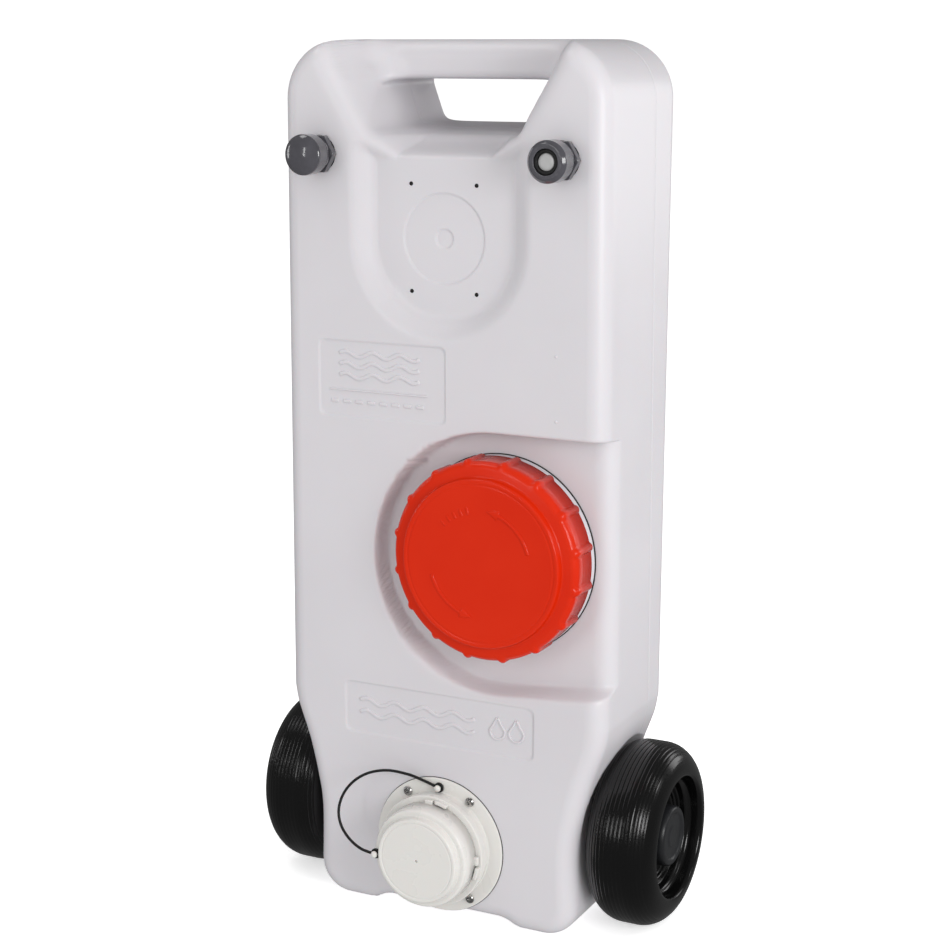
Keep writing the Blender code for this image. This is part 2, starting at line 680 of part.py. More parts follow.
def tether_cord(material):
    """The springy cord between the two eyelets, at its real length."""
    fine = [Vector(p) for p in smooth_through(TETHER_ROUTE, 24)]
    length = sum((b - a).length for a, b in zip(fine, fine[1:]))
    count = round(length / CORD_STEP)
    points, walked, target = [fine[0]], 0.0, 1
    for a, b in zip(fine, fine[1:]):
        walked += (b - a).length
        if walked >= target * length / count and target < count:
            points.append(b)
            target += 1
    points.append(fine[-1])
    data = bpy.data.curves.new("tether_cord", "CURVE")
    data.dimensions = "3D"
    data.bevel_depth = CORD_D / 2
    data.bevel_resolution = 2
    data.use_fill_caps = True
    spline = data.splines.new("POLY")
    spline.points.add(len(points) - 1)
    for knot, point in zip(spline.points, points):
        knot.co = (*point, 1)
    cord = bpy.data.objects.new("tether_cord", data)
    data.materials.append(material)
    bpy.context.scene.collection.objects.link(cord)
    return cord


# ---------------------------------------------------------------- glands
def hex_ring(name, across_flats, bore, near, far, place, material):
    """A hexagonal ring along Y with a round bore."""
    outline = hexagon(across_flats)
    origin = (place[0], FRONT_Y, place[1])
    ring = loft(name, [[(x, depth, z) for x, z in outline] for depth in (near, far)], material, origin)
    combine(ring, drum(f"cut_{name}", place, bore, near - 0.01, far + 0.01, SIDES_SMALL))
    return ring


def gland_fixed_parts(word, side, dark, rubber):
    """What stays on the tank at one gland: its body, the gasket outside and the lock nut inside."""
    place = (side * GLAND_X, GLAND_Z)
    origin = (place[0], FRONT_Y, place[1])
    outline = hexagon(GLAND_HEX)
    gasket_front = -GAP - GLAND_GASKET_THICK
    rings = [[(x, depth, z) for x, z in outline] for depth in (GLAND_HEX_FRONT, gasket_front - GAP)]
    body = loft(f"gland_body_{word}", rings, dark, origin)
    stem = [
        (0, GLAND_SPIGOT_END), (GLAND_SPIGOT_R, GLAND_SPIGOT_END), (GLAND_SPIGOT_R, GLAND_HEX_FRONT / 2),
        (GLAND_STEM_R, GLAND_HEX_FRONT / 2), (GLAND_STEM_R, GLAND_STEM_FRONT), (0, GLAND_STEM_FRONT),
    ]
    combine(body, lathe(f"join_stem_{word}", stem, origin, "Y", sides=SIDES_SMALL), "UNION")
    combine(body, drum(f"cut_gland_bore_{word}", place, GLAND_BORE_R, -0.030, 0.020, SIDES_SMALL))
    half = GLAND_HEX / 2
    washer = [(GLAND_HOLE_R, gasket_front), (half, gasket_front), (half, -GAP), (GLAND_HOLE_R, -GAP)]
    lathe(f"gland_gasket_{word}", washer, origin, "Y", rubber, SIDES_SMALL)
    near = WALL + GAP
    hex_ring(f"gland_locknut_{word}", LOCKNUT_HEX, GLAND_HOLE_R, near, near + LOCKNUT_THICK, place, dark)


def gland_skirt():
    """The part of a gland's nut that both sides share, from its back edge to its full width."""
    back = GLAND_HEX_FRONT - GAP
    return [
        (GLAND_NUT_BORE_R, back), (GLAND_NUT_R - 0.0018, back), (GLAND_NUT_R - 0.0008, back - 0.0057),
        (GLAND_NUT_R, back - 0.0087),
    ]


def gland_right(dark, rubber, grey):
    """The open gland: a nut that squeezes a rubber ring round a plug."""
    gland_fixed_parts("right", 1, dark, rubber)
    origin = (GLAND_X, FRONT_Y, GLAND_Z)
    root = GLAND_STEM_FRONT - 0.0005
    front = GLAND_NUT_FRONT
    nut = gland_skirt() + [
        (GLAND_NUT_R, front + 0.002), (GLAND_NUT_R - 0.002, front), (GLAND_MOUTH_R, front),
        (GLAND_MOUTH_R, front + 0.007), (GLAND_NUT_BORE_R, front + 0.013),
    ]
    lathe("gland_nut_right", nut, origin, "Y", dark, SIDES_MEDIUM)
    inner, outer = PLUG_R + GAP, GLAND_MOUTH_R - GAP - 0.0001
    seal = [(inner, root), (outer, root), (outer, front + 0.0005), (inner, front + 0.0005)]
    lathe("gland_seal_right", seal, origin, "Y", rubber, SIDES_SMALL)
    plug = [(0, root), (PLUG_R, root), (PLUG_R, front + 0.0012), (PLUG_R - 0.001, front + 0.0002), (0, front + 0.0002)]
    lathe("gland_plug_right", plug, origin, "Y", grey, SIDES_SMALL)


def gland_left(dark, rubber):
    """The closed gland: a domed cap over a flat seal."""
    gland_fixed_parts("left", -1, dark, rubber)
    origin = (-GLAND_X, FRONT_Y, GLAND_Z)
    front = GLAND_DOME_FRONT
    inside = front + WALL
    dome = gland_skirt() + [
        (GLAND_NUT_R, front + 0.006), (GLAND_NUT_R - 0.0025, front + 0.0018), (GLAND_NUT_R - 0.008, front + 0.0004),
        (0, front), (0, inside), (GLAND_NUT_BORE_R - 0.001, inside), (GLAND_NUT_BORE_R, inside + 0.002),
    ]
    lathe("gland_cap_left", dome, origin, "Y", dark, SIDES_MEDIUM)
    far = GLAND_STEM_FRONT - GAP
    near = far - GLAND_SEAL_THICK
    outer = GLAND_STEM_R - 0.0001
    seal = [(GLAND_BORE_R, near), (outer, near), (outer, far), (GLAND_BORE_R, far)]
    lathe("gland_seal_left", seal, origin, "Y", rubber, SIDES_SMALL)


# ---------------------------------------------------------------- wheels
def wheel(word, side, tyre, hub, nylon, steel):
    """One wheel with its bush and hub cap, and the washer and clip that hold it on the axle."""
    origin = (0, AXLE_Y, AXLE_Z)

    def turned(name, profile, material, sides):
        return lathe(name, [(r, side * x) for r, x in profile], origin, "X", material, sides)

    outer_corner = arc((WHEEL_RIM_R, WHEEL_OUTER_X - WHEEL_SHOULDER_R), WHEEL_SHOULDER_R, 0, 90, 4)
    profile = [(WHEEL_BORE_R, WHEEL_INNER_X), *wheel_side(0)[1:]]
    profile += [*outer_corner, *WHEEL_DISH, (WHEEL_BORE_R + 0.0070, WHEEL_WEB_X),
                (WHEEL_BORE_R + 0.0060, WHEEL_HUB_X), (WHEEL_BORE_R, WHEEL_HUB_X)]
    body = turned(f"wheel_{word}", profile, tyre, SIDES_LARGE)
    combine(body, turned(f"cut_wheel_hollow_{word}", WHEEL_HOLLOW, None, SIDES_MEDIUM))
    vent = [(0, WHEEL_INNER_X - 0.005), (WHEEL_VENT_R, WHEEL_INNER_X - 0.005), (WHEEL_VENT_R, WHEEL_INNER_X + 0.010),
            (0, WHEEL_INNER_X + 0.010)]
    place = (0, AXLE_Y, AXLE_Z + WHEEL_VENT_OUT)
    vent_hole = lathe(f"cut_wheel_vent_{word}", [(r, side * x) for r, x in vent], place, "X", None, 8)
    combine(body, vent_hole)

    bore = AXLE_R + GAP
    inner_end = WHEEL_INNER_X - BUSH_FLANGE - GAP
    hub_end = WHEEL_HUB_X - GAP
    sleeve = WHEEL_BORE_R - GAP
    bush = [
        (bore, inner_end), (BUSH_FLANGE_R, inner_end), (BUSH_FLANGE_R, inner_end + BUSH_FLANGE),
        (sleeve, inner_end + BUSH_FLANGE), (sleeve, hub_end), (bore, hub_end),
    ]
    turned(f"wheel_bush_{word}", bush, nylon, SIDES_SMALL)
    near, far = WHEEL_HUB_X + GAP, WHEEL_HUB_X + GAP + WASHER_THICK
    washer = [(bore, near), (WASHER_R, near), (WASHER_R, far), (bore, far)]
    turned(f"axle_washer_{word}", washer, steel, SIDES_SMALL)
    near, far = far + GAP, far + GAP + CLIP_THICK
    clip = [(bore, near), (CLIP_R, near), (CLIP_R - 0.001, far), (bore, far)]
    turned(f"axle_clip_{word}", clip, steel, SIDES_SMALL)
    seat = WHEEL_WEB_X + GAP
    inside = HUB_CAP_R - HUB_CAP_WALL
    cap = [
        (0, HUB_CAP_X - HUB_CAP_WALL), (inside - 0.002, HUB_CAP_X - HUB_CAP_WALL - 0.001),
        (inside, HUB_CAP_X - HUB_CAP_WALL - 0.003), (inside, seat), (HUB_CAP_R, seat),
        (HUB_CAP_R, HUB_CAP_X - 0.004), (HUB_CAP_R - 0.003, HUB_CAP_X - 0.001), (0, HUB_CAP_X),
    ]
    turned(f"hub_cap_{word}", cap, hub, SIDES_MEDIUM)


def axle(material):
    """The steel rod through the tank's tunnel."""
    end = AXLE_HALF_LENGTH
    profile = [
        (0, -end), (AXLE_R - 0.001, -end), (AXLE_R, 0.001 - end), (AXLE_R, end - 0.001), (AXLE_R - 0.001, end),
        (0, end),
    ]
    lathe("axle", profile, (0, AXLE_Y, AXLE_Z), "X", material, SIDES_SMALL)


# ---------------------------------------------------------------- the whole tote
def main():
    """Build every piece of the tote."""
    start_clean()
    tank_plastic = plastic("tank_polyethylene", (0.66, 0.65, 0.67), 0.42)
    red = plastic("red_cap_plastic", (0.72, 0.035, 0.008), 0.28)
    off_white = plastic("outlet_plastic", (0.70, 0.69, 0.66), 0.35)
    dark = plastic("gland_nylon", (0.045, 0.048, 0.055), 0.22)
    grey = plastic("plug_plastic", (0.22, 0.22, 0.23), 0.40)
    black = plastic("wheel_plastic", (0.008, 0.008, 0.008), 0.25)
    hub = plastic("hub_cap_plastic", (0.020, 0.021, 0.023), 0.35)
    rubber = plastic("seal_rubber", (0.010, 0.010, 0.010), 0.60)
    nylon = plastic("bush_nylon", (0.60, 0.60, 0.57), 0.45)
    steel = plastic("steel", (0.60, 0.60, 0.60), 0.30, 1.0)

    tank_body(tank_plastic)
    inspection_cap(red)
    inspection_cap_seal(rubber)
    outlet_flange(off_white)
    outlet_gasket(rubber)
    outlet_screws(steel)
    outlet_cap(off_white)
    outlet_cap_seal(rubber)
    tether_pin("tether_pin_flange", FLANGE_PIN, FLANGE_FRONT, off_white)
    tether_pin("tether_pin_cap", CAP_PIN, OUTLET_SHOULDER, off_white)
    tether_eye("tether_eye_flange", FLANGE_PIN, FLANGE_FRONT, rubber)
    tether_eye("tether_eye_cap", CAP_PIN, OUTLET_SHOULDER, rubber)
    tether_cord(rubber)
    gland_right(dark, rubber, grey)
    gland_left(dark, rubber)
    axle(steel)
    for side, word in ((-1, "left"), (1, "right")):
        wheel(word, side, black, hub, nylon, steel)


main()
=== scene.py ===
"""The portable waste tote's looks: moulded tank, screw cap, bayonet outlet, tether, glands and wheels.

Metres, +Z up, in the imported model's own frame: the front faces -Y and +X is to the right as the front is
looked at. A "depth" is measured backwards from the tank's front face.
"""

import logging
import math
from dataclasses import dataclass
from enum import Enum
from typing import Callable, Sequence

import bmesh
import bpy
import numpy as np
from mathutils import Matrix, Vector

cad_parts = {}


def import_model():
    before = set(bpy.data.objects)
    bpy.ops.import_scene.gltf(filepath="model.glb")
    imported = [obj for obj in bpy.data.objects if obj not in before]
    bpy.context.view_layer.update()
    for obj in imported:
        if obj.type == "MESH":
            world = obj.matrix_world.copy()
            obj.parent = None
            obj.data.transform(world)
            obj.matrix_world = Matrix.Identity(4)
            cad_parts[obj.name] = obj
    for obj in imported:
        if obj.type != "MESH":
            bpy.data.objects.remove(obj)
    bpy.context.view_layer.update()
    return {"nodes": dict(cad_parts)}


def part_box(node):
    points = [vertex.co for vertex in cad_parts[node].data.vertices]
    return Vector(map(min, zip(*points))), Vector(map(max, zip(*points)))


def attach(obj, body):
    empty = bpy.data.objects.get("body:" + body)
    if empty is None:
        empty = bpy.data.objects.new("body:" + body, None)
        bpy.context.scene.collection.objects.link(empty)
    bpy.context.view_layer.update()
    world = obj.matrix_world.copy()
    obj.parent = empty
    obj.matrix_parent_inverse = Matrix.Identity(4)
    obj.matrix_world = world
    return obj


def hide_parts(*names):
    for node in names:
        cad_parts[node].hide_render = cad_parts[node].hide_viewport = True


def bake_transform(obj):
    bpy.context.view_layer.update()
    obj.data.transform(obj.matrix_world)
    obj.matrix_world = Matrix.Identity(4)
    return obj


Array = np.ndarray
Line = Sequence[tuple[float, float]]

log = logging.getLogger("waste_tote")

SKIN = 0.0002  # how far one piece stands into or off another, so that no two faces share a plane
GAP = 0.0003  # how far a moving piece stays off the one it closes on
SHADE_SPAN = (0.32, 0.68)  # the part of the wide noise's range over which the colour changes
GLOSS_SPAN = (0.30, 0.70)  # and over which the roughness does


# ---------------------------------------------------------------- colour and shader nodes
def linear(hex_colour: str) -> tuple[float, float, float, float]:
    """Turns an sRGB hex colour into linear RGBA.

    Args:
        hex_colour: six hex digits, with or without a leading #.

    Returns:
        Red, green, blue and an alpha of 1.
    """
    digits = hex_colour.lstrip("#")
    shares = [int(digits[i:i + 2], 16) / 255 for i in (0, 2, 4)]
    values = [c / 12.92 if c <= 0.04045 else ((c + 0.055) / 1.055) ** 2.4 for c in shares]
    return (*values, 1.0)


def add_node(tree: bpy.types.NodeTree, kind: str, settings: dict | None = None,
             links: dict | None = None) -> bpy.types.Node:
    """Adds one node, sets its values and links its inputs.

    Args:
        tree: the material's node tree.
        kind: the node's type name without the "ShaderNode" in front.
        settings: values by the name of an attribute or of an input socket.
        links: output sockets by the name or number of the input that each feeds.

    Returns:
        The new node.
    """
    node = tree.nodes.new("ShaderNode" + kind)
    for key, value in (settings or {}).items():
        if isinstance(key, str) and hasattr(node, key):
            setattr(node, key, value)
        else:
            node.inputs[key].default_value = value
    for key, socket in (links or {}).items():
        tree.links.new(socket, node.inputs[key])
    return node


@dataclass(frozen=True)
class Finish:
    """One surface finish.

    Fine moulding texture is a noise bump; a second, wider noise shifts the colour and the roughness a little,
    as a thick moulding's do.
    """

    name: str
    colour: str
    shade: str  # the colour that the wide noise leans towards
    roughness: float
    slot: str
    roughness_spread: float = 0.06
    grain_mm: float = 0.8
    grain_height_mm: float = 0.02
    patch_mm: float = 60.0
    metallic: float = 0.0
    ior: float = 1.50
    coat: float = 0.0
    coat_roughness: float = 0.1
    subsurface: float = 0.0
    subsurface_mm: float = 3.0
    specular: float = 0.5
    glow: float = 0.0  # the floor's own light

    def build(self) -> bpy.types.Material:
        """Makes the Blender material.

        Returns:
            The material, with its nodes linked.
        """
        material = bpy.data.materials.new(self.name)
        material.use_nodes = True
        tree = material.node_tree
        tree.nodes.clear()
        place = add_node(tree, "TexCoord").outputs["Object"]
        patch = add_node(tree, "TexNoise", {"Scale": 1000 / self.patch_mm, "Detail": 3.0, "Roughness": 0.5},
                         {"Vector": place})
        shade = add_node(tree, "ValToRGB", None, {"Fac": patch.outputs["Fac"]})
        for element, place_on_ramp, colour in zip(shade.color_ramp.elements, SHADE_SPAN, (self.shade, self.colour)):
            element.position = place_on_ramp
            element.color = linear(colour)
        grain = add_node(tree, "TexNoise", {"Scale": 1000 / self.grain_mm, "Detail": 2.0, "Roughness": 0.55},
                         {"Vector": place})
        gloss = add_node(tree, "MapRange", {
            "From Min": GLOSS_SPAN[0], "From Max": GLOSS_SPAN[1],
            "To Min": self.roughness - self.roughness_spread, "To Max": self.roughness + self.roughness_spread,
        }, {"Value": patch.outputs["Fac"]})
        bump = add_node(tree, "Bump", {"Strength": 1.0, "Distance": self.grain_height_mm / 1000},
                        {"Height": grain.outputs["Fac"]})
        shader = add_node(tree, "BsdfPrincipled", {
            "Metallic": self.metallic, "Coat Weight": self.coat, "Coat Roughness": self.coat_roughness,
            "Specular IOR Level": self.specular, "Subsurface Weight": self.subsurface,
            "Subsurface Scale": self.subsurface_mm / 1000, "Emission Strength": self.glow,
            "Emission Color": linear(self.colour),
        }, {"Base Color": shade.outputs["Color"], "Roughness": gloss.outputs["Result"],
            "Normal": bump.outputs["Normal"]})
        if not self.metallic:
            shader.inputs["IOR"].default_value = self.ior
        add_node(tree, "OutputMaterial", None, {"Surface": shader.outputs["BSDF"]})
        return material


class Finishes:
    """Every finish on the tote, each made into a material once."""

    # Rotationally moulded polyethylene: satin, faintly waxy, with a fine orange peel from the hot mould.
    TANK = Finish("rotomoulded_polyethylene", "#CFCCD0", "#CCC9CD", 0.36, "tank_polyethylene",
                  roughness_spread=0.04, grain_mm=1.6, grain_height_mm=0.035, patch_mm=140, subsurface=0.06,
                  subsurface_mm=4)
    # Injection-moulded polypropylene: saturated and glossy, with a faint sink pattern.
    CAP = Finish("injection_moulded_red_polypropylene", "#CF2806", "#CA2405", 0.22, "red_cap",
                 roughness_spread=0.02, grain_mm=3.0, grain_height_mm=0.008, patch_mm=90, subsurface=0.03,
                 subsurface_mm=2, specular=0.26)
    # Moulded ABS in a warm off-white, smoother than the tank.
    OUTLET = Finish("moulded_off_white_abs", "#D9D7D3", "#D8D6D2", 0.28, "outlet_plastic",
                    grain_mm=1.5, grain_height_mm=0.012, patch_mm=40, subsurface=0.04, subsurface_mm=2)
    # Glass-filled nylon, moulded in polished tools: dark grey with sharp highlights.
    GLAND = Finish("moulded_dark_grey_nylon", "#4D4C52", "#454449", 0.15, "gland_nylon",
                   grain_mm=1.2, grain_height_mm=0.015, patch_mm=15, coat=0.8, coat_roughness=0.12)
    # Satin grey plastic of the blanking plug.
    PLUG = Finish("moulded_grey_plug_plastic", "#A6A6A6", "#9C9C9B", 0.38, "plug_plastic",
                  grain_mm=0.9, grain_height_mm=0.01, patch_mm=9)
    # Blow-moulded black polyethylene: deep black, glossy, with soft dents left by cooling.
    WHEEL = Finish("blow_moulded_black_polyethylene", "#050505", "#080808", 0.20, "wheel_plastic",
                   roughness_spread=0.05, grain_mm=3.5, grain_height_mm=0.035, patch_mm=30)
    # Charcoal polypropylene of the snap-on hub cap.
    HUB = Finish("moulded_charcoal_polypropylene", "#232427", "#1D1E20", 0.36, "hub_cap_plastic",
                 grain_mm=1.0, grain_height_mm=0.015, patch_mm=20)
    # Black elastomer of seals and tether, also on the black rings and discs that paint shade in holes and joints: dull,
    # with a soft sheen.
    RUBBER = Finish("extruded_black_elastomer", "#101010", "#161616", 0.48, "seal_rubber",
                    grain_mm=0.6, grain_height_mm=0.012, patch_mm=12)
    # Stainless steel, cold formed and tumbled: bright, with small scratches.
    STEEL = Finish("tumbled_stainless_steel", "#C9C8C6", "#B5B4B2", 0.24, "steel", metallic=1.0,
                   grain_mm=0.5, grain_height_mm=0.010, patch_mm=6)
    # Natural nylon of the bushes: milky and satin.
    NYLON = Finish("natural_nylon", "#D9D6C8", "#CFCCBD", 0.42, "bush_nylon",
                   grain_mm=0.8, grain_height_mm=0.01, patch_mm=12, subsurface=0.08, subsurface_mm=1.5)

    _made: dict[str, bpy.types.Material] = {}

    @classmethod
    def material(cls, finish: Finish) -> bpy.types.Material:
        """Returns the finish's material, made at its first use."""
        if finish.name not in cls._made:
            cls._made[finish.name] = finish.build()
        return cls._made[finish.name]


# ---------------------------------------------------------------- curves and surfaces
def smoothed(points: Line, steps: int) -> Array:
    """A Catmull-Rom curve through points: each stretch is a cubic whose end slopes come from the neighbours.

    Args:
        points: the points, in two or three dimensions.
        steps: how many parts each stretch is cut into.

    Returns:
        The curve's points as an array.
    """
    knots = np.asarray(points, float)
    padded = np.vstack([2 * knots[0] - knots[1], knots, 2 * knots[-1] - knots[-2]])
    t = np.linspace(0, 1, steps, endpoint=False)[:, None]
    parts = []
    for a, b, c, d in zip(padded, padded[1:], padded[2:], padded[3:]):
        parts.append(0.5 * (2 * b + (c - a) * t + (2 * a - 5 * b + 4 * c - d) * t**2 + (3 * b - a - 3 * c + d) * t**3))
    return np.vstack([*parts, knots[-1:]])


def arc(centre: tuple[float, float], radius: float, first: float, last: float, steps: int) -> Array:
    """Points on a circle between two angles in degrees, ends included."""
    angles = np.radians(np.linspace(first, last, steps + 1))
    return np.stack([centre[0] + radius * np.cos(angles), centre[1] + radius * np.sin(angles)], axis=1)


def filleted(corners: Line, sizes: float | Sequence[float], steps: int = 5, closed: bool = False) -> Array:
    """Rounds the corners of an outline: each corner becomes a parabola between points set back along its two
    sides, with one more point beyond each end to keep the flat stretches flat when they are shaded.

    Args:
        corners: the outline's corners.
        sizes: how far each corner is set back, or one value for all of them.
        steps: parts in each rounding.
        closed: whether the last corner joins the first.

    Returns:
        The rounded outline.
    """
    knots = np.asarray(corners, float)
    count = len(knots)
    setbacks = np.full(count, sizes, float) if np.isscalar(sizes) else np.asarray(sizes, float)
    t = np.linspace(0, 1, steps + 1)[:, None]
    parts = []
    for i, (corner, size) in enumerate(zip(knots, setbacks)):
        if not closed and i in (0, count - 1):
            parts.append(corner[None])
            continue
        before, after = knots[i - 1] - corner, knots[(i + 1) % count] - corner
        reach_before, reach_after = np.linalg.norm(before), np.linalg.norm(after)
        if size <= 0 or min(reach_before, reach_after) < 1e-9:
            parts.append(corner[None])
            continue
        first = corner + before / reach_before * min(size, 0.42 * reach_before)
        last = corner + after / reach_after * min(size, 0.42 * reach_after)
        lead = corner + before / reach_before * min(1.3 * size, 0.48 * reach_before)
        tail = corner + after / reach_after * min(1.3 * size, 0.48 * reach_after)
        curve = first * (1 - t) ** 2 + 2 * corner * t * (1 - t) + last * t**2
        parts += [lead[None], curve, tail[None]]
    return np.vstack(parts)


def distance_to(x: Array, z: Array, outline: Array, closed: bool = True) -> Array:
    """Distance from each point to the nearest place on an outline, negative outside a closed one.

    Each side gives the distance to its nearest point, and the least of them counts; whether a point is inside
    comes from how many sides a level ray crosses.

    Args:
        x: the points' x, in any shape.
        z: the points' z, in the same shape.
        outline: the outline's points in order.
        closed: whether the outline closes and has an inside.

    Returns:
        The distances, in the shape of x.
    """
    flat_x, flat_z = x.ravel(), z.ravel()
    nearest = np.full(flat_x.shape, np.inf)
    inside = np.zeros(flat_x.shape, bool)
    ends = np.roll(outline, -1, axis=0) if closed else outline[1:]
    starts = outline if closed else outline[:-1]
    for (ax, az), (bx, bz) in zip(starts, ends):
        dx, dz = bx - ax, bz - az
        length = dx * dx + dz * dz
        if length < 1e-16:
            continue
        share = np.clip(((flat_x - ax) * dx + (flat_z - az) * dz) / length, 0, 1)
        nearest = np.minimum(nearest, (flat_x - ax - share * dx) ** 2 + (flat_z - az - share * dz) ** 2)
        if closed and abs(dz) > 1e-12:
            crosses = ((az > flat_z) != (bz > flat_z)) & (flat_x < ax + (flat_z - az) / dz * dx)
            inside ^= crosses
    distance = np.sqrt(nearest)
    if closed:
        distance = np.where(inside, distance, -distance)
    return distance.reshape(x.shape)


def smooth_step(share: Array) -> Array:
    """The cubic 3t^2 - 2t^3 of a share, held at 0 below 0 and at 1 above 1."""
    t = np.clip(share, 0, 1)
    return t * t * (3 - 2 * t)


def soft_max(a: Array, b: Array, width: float) -> Array:
    """The larger of two heights, rounded where they cross: half their sum plus half the root r of their squared
    difference and the squared width, less half of width^2 / r so that equal heights keep their value."""
    root = np.sqrt((a - b) ** 2 + width**2)
    return (a + b + root - width**2 / root) / 2


def graded(marks: Sequence[float], fine: float, coarse: float, growth: float) -> Array:
    """Grid lines that pass through every mark, close together there and further apart between them.

    The wished spacing at a place is the fine one plus growth times the distance to the nearest mark, up to
    the coarse one; the lines stand where its running count is whole.

    Args:
        marks: places that need a line, in order.
        fine: spacing at a mark.
        coarse: the widest spacing.
        growth: how fast the spacing widens away from a mark.

    Returns:
        The places of the lines.
    """
    lines = [np.array([marks[0]])]
    for low, high in zip(marks, marks[1:]):
        t = np.linspace(low, high, 300)
        spacing = np.minimum(fine + growth * np.minimum(t - low, high - t), coarse)
        count = np.concatenate(([0.0], np.cumsum((1 / spacing[1:] + 1 / spacing[:-1]) / 2 * np.diff(t))))
        parts = max(1, round(count[-1]))
        lines.append(np.interp(np.arange(1, parts + 1) * count[-1] / parts, count, t))
    return np.concatenate(lines)


def grid_quads(rows: int, columns: int, around: bool = False, first: int = 0) -> Array:
    """The four-sided faces of a grid whose vertices are numbered row by row.

    Args:
        rows: rows of vertices.
        columns: vertices in a row.
        around: whether each row closes on itself.
        first: the number of the first vertex.

    Returns:
        One row of four vertex numbers per face.
    """
    across = columns if around else columns - 1
    j, i = np.meshgrid(np.arange(rows - 1), np.arange(across), indexing="ij")
    k = (i + 1) % columns
    faces = np.stack([j * columns + i, j * columns + k, (j + 1) * columns + k, (j + 1) * columns + i], axis=-1)
    return faces.reshape(-1, 4) + first


def make_piece(name: str, points: Array, quads: Array, finish: Finish) -> bpy.types.Object:
    """Makes a smooth-shaded mesh object that stands in the model's frame.

    Doubled vertices, such as those at a pole, are merged, and the faces are then turned outwards.

    Args:
        name: the piece's name.
        points: vertices, three numbers each.
        quads: faces, four vertex numbers each.
        finish: its finish.

    Returns:
        The object, linked to the scene.
    """
    mesh = bpy.data.meshes.new(name)
    mesh.from_pydata(points.reshape(-1, 3).tolist(), [], quads.tolist())
    piece = bpy.data.objects.new(name, mesh)
    bpy.context.scene.collection.objects.link(piece)
    bm = bmesh.new()
    bm.from_mesh(mesh)
    bmesh.ops.remove_doubles(bm, verts=bm.verts, dist=1e-6)
    bmesh.ops.dissolve_degenerate(bm, edges=bm.edges, dist=1e-7)
    bmesh.ops.recalc_face_normals(bm, faces=bm.faces)
    bm.to_mesh(mesh)
    bm.free()
    mesh.polygons.foreach_set("use_smooth", np.ones(len(mesh.polygons), bool))
    mesh.materials.append(Finishes.material(finish))
    return piece


class Axis(Enum):
    """The line that a turned piece is turned about."""

    DEPTH = "y"  # fittings on the front
    WIDTH = "x"  # wheels and what is on the axle


@dataclass(frozen=True)
class Lathe:
    """Turns profiles about one axis of the tote."""

    axis: Axis
    centre: Vector  # where depth, or x, is 0 on the axis
    side: float = 1.0  # -1 turns the profile towards -X

    def points(self, radius: Array, along: Array, angle: Array) -> Array:
        """Places for radii, distances along the axis and angles in radians, as arrays of one shape.

        Angle 0 is +X for a fitting on the front and +Y for a wheel; a quarter turn is +Z for both.
        """
        a, b = radius * np.cos(angle), radius * np.sin(angle)
        if self.axis is Axis.DEPTH:
            return np.stack([self.centre.x + a, self.centre.y + along, self.centre.z + b], axis=-1)
        return np.stack([self.centre.x + self.side * along, self.centre.y + a, self.centre.z + b], axis=-1)

    def turn(self, name: str, profile: Line | Array, finish: Finish, sides: int = 96, closed: bool = False,
             radius_at: Callable[[Array, Array, Array], Array] | None = None) -> bpy.types.Object:
        """A surface of turning: each profile point (radius, along) is carried round the axis.

        Args:
            name: the piece's name.
            profile: the points to turn, from one pole to the other, or round a ring's section.
            finish: its finish.
            sides: steps round the axis.
            closed: whether the profile's last point joins its first, as on a ring.
            radius_at: changes the radius as a function of (radius, along, angle), for ribs and flats.

        Returns:
            The piece.
        """
        line = np.asarray(profile, float)
        if closed:
            line = np.vstack([line, line[:1]])
        angle, radius = np.meshgrid(2 * np.pi * np.arange(sides) / sides, line[:, 0])
        along = np.broadcast_to(line[:, 1:2], radius.shape)
        if radius_at is not None:
            radius = radius_at(radius, along, angle)
        points = self.points(radius, along, angle)
        return make_piece(name, points, grid_quads(len(line), sides, around=True), finish)

    def ring(self, name: str, radii: tuple[float, float], reach: tuple[float, float], corner: float, sides: int,
             finish: Finish, steps: int = 3) -> bpy.types.Object:
        """A ring with a rectangular section and rounded corners.

        Args:
            name: the piece's name.
            radii: inner and outer radius.
            reach: where it begins and ends along the axis.
            corner: how far each corner is set back.
            sides: steps round the axis.
            finish: its finish.
            steps: parts in each corner's rounding.

        Returns:
            The piece.
        """
        (inner, outer), (near, far) = radii, reach
        section = filleted([(inner, near), (outer, near), (outer, far), (inner, far)], corner, steps, closed=True)
        return self.turn(name, section, finish, sides, closed=True)


def tube(name: str, path: Array, radius: float, finish: Finish, sides: int) -> bpy.types.Object:
    """A round profile carried along a path: at each point it lies across the path, in a frame that is carried
    from one point to the next without twisting. The ends close to a point.

    Args:
        name: the piece's name.
        path: the points to follow, three numbers each.
        radius: the profile's radius.
        finish: its finish.
        sides: steps round the profile.

    Returns:
        The piece.
    """
    along = np.gradient(path, axis=0)
    along /= np.linalg.norm(along, axis=1, keepdims=True)
    up = np.cross(along[0], (0.0, 1.0, 0.0) if abs(along[0][1]) < 0.9 else (1.0, 0.0, 0.0))
    ups = [up / np.linalg.norm(up)]
    for direction in along[1:]:
        carried = ups[-1] - direction * np.dot(ups[-1], direction)
        ups.append(carried / np.linalg.norm(carried))
    first = np.array(ups)
    second = np.cross(along, first)
    angle = 2 * np.pi * np.arange(sides) / sides
    ring = first[:, None] * np.cos(angle)[None, :, None] + second[:, None] * np.sin(angle)[None, :, None]
    ends = [np.repeat(path[i][None, None], sides, axis=1) for i in (0, -1)]
    points = np.concatenate([ends[0], path[:, None] + ring * radius, ends[1]])
    return make_piece(name, points, grid_quads(len(points), sides, around=True), finish)


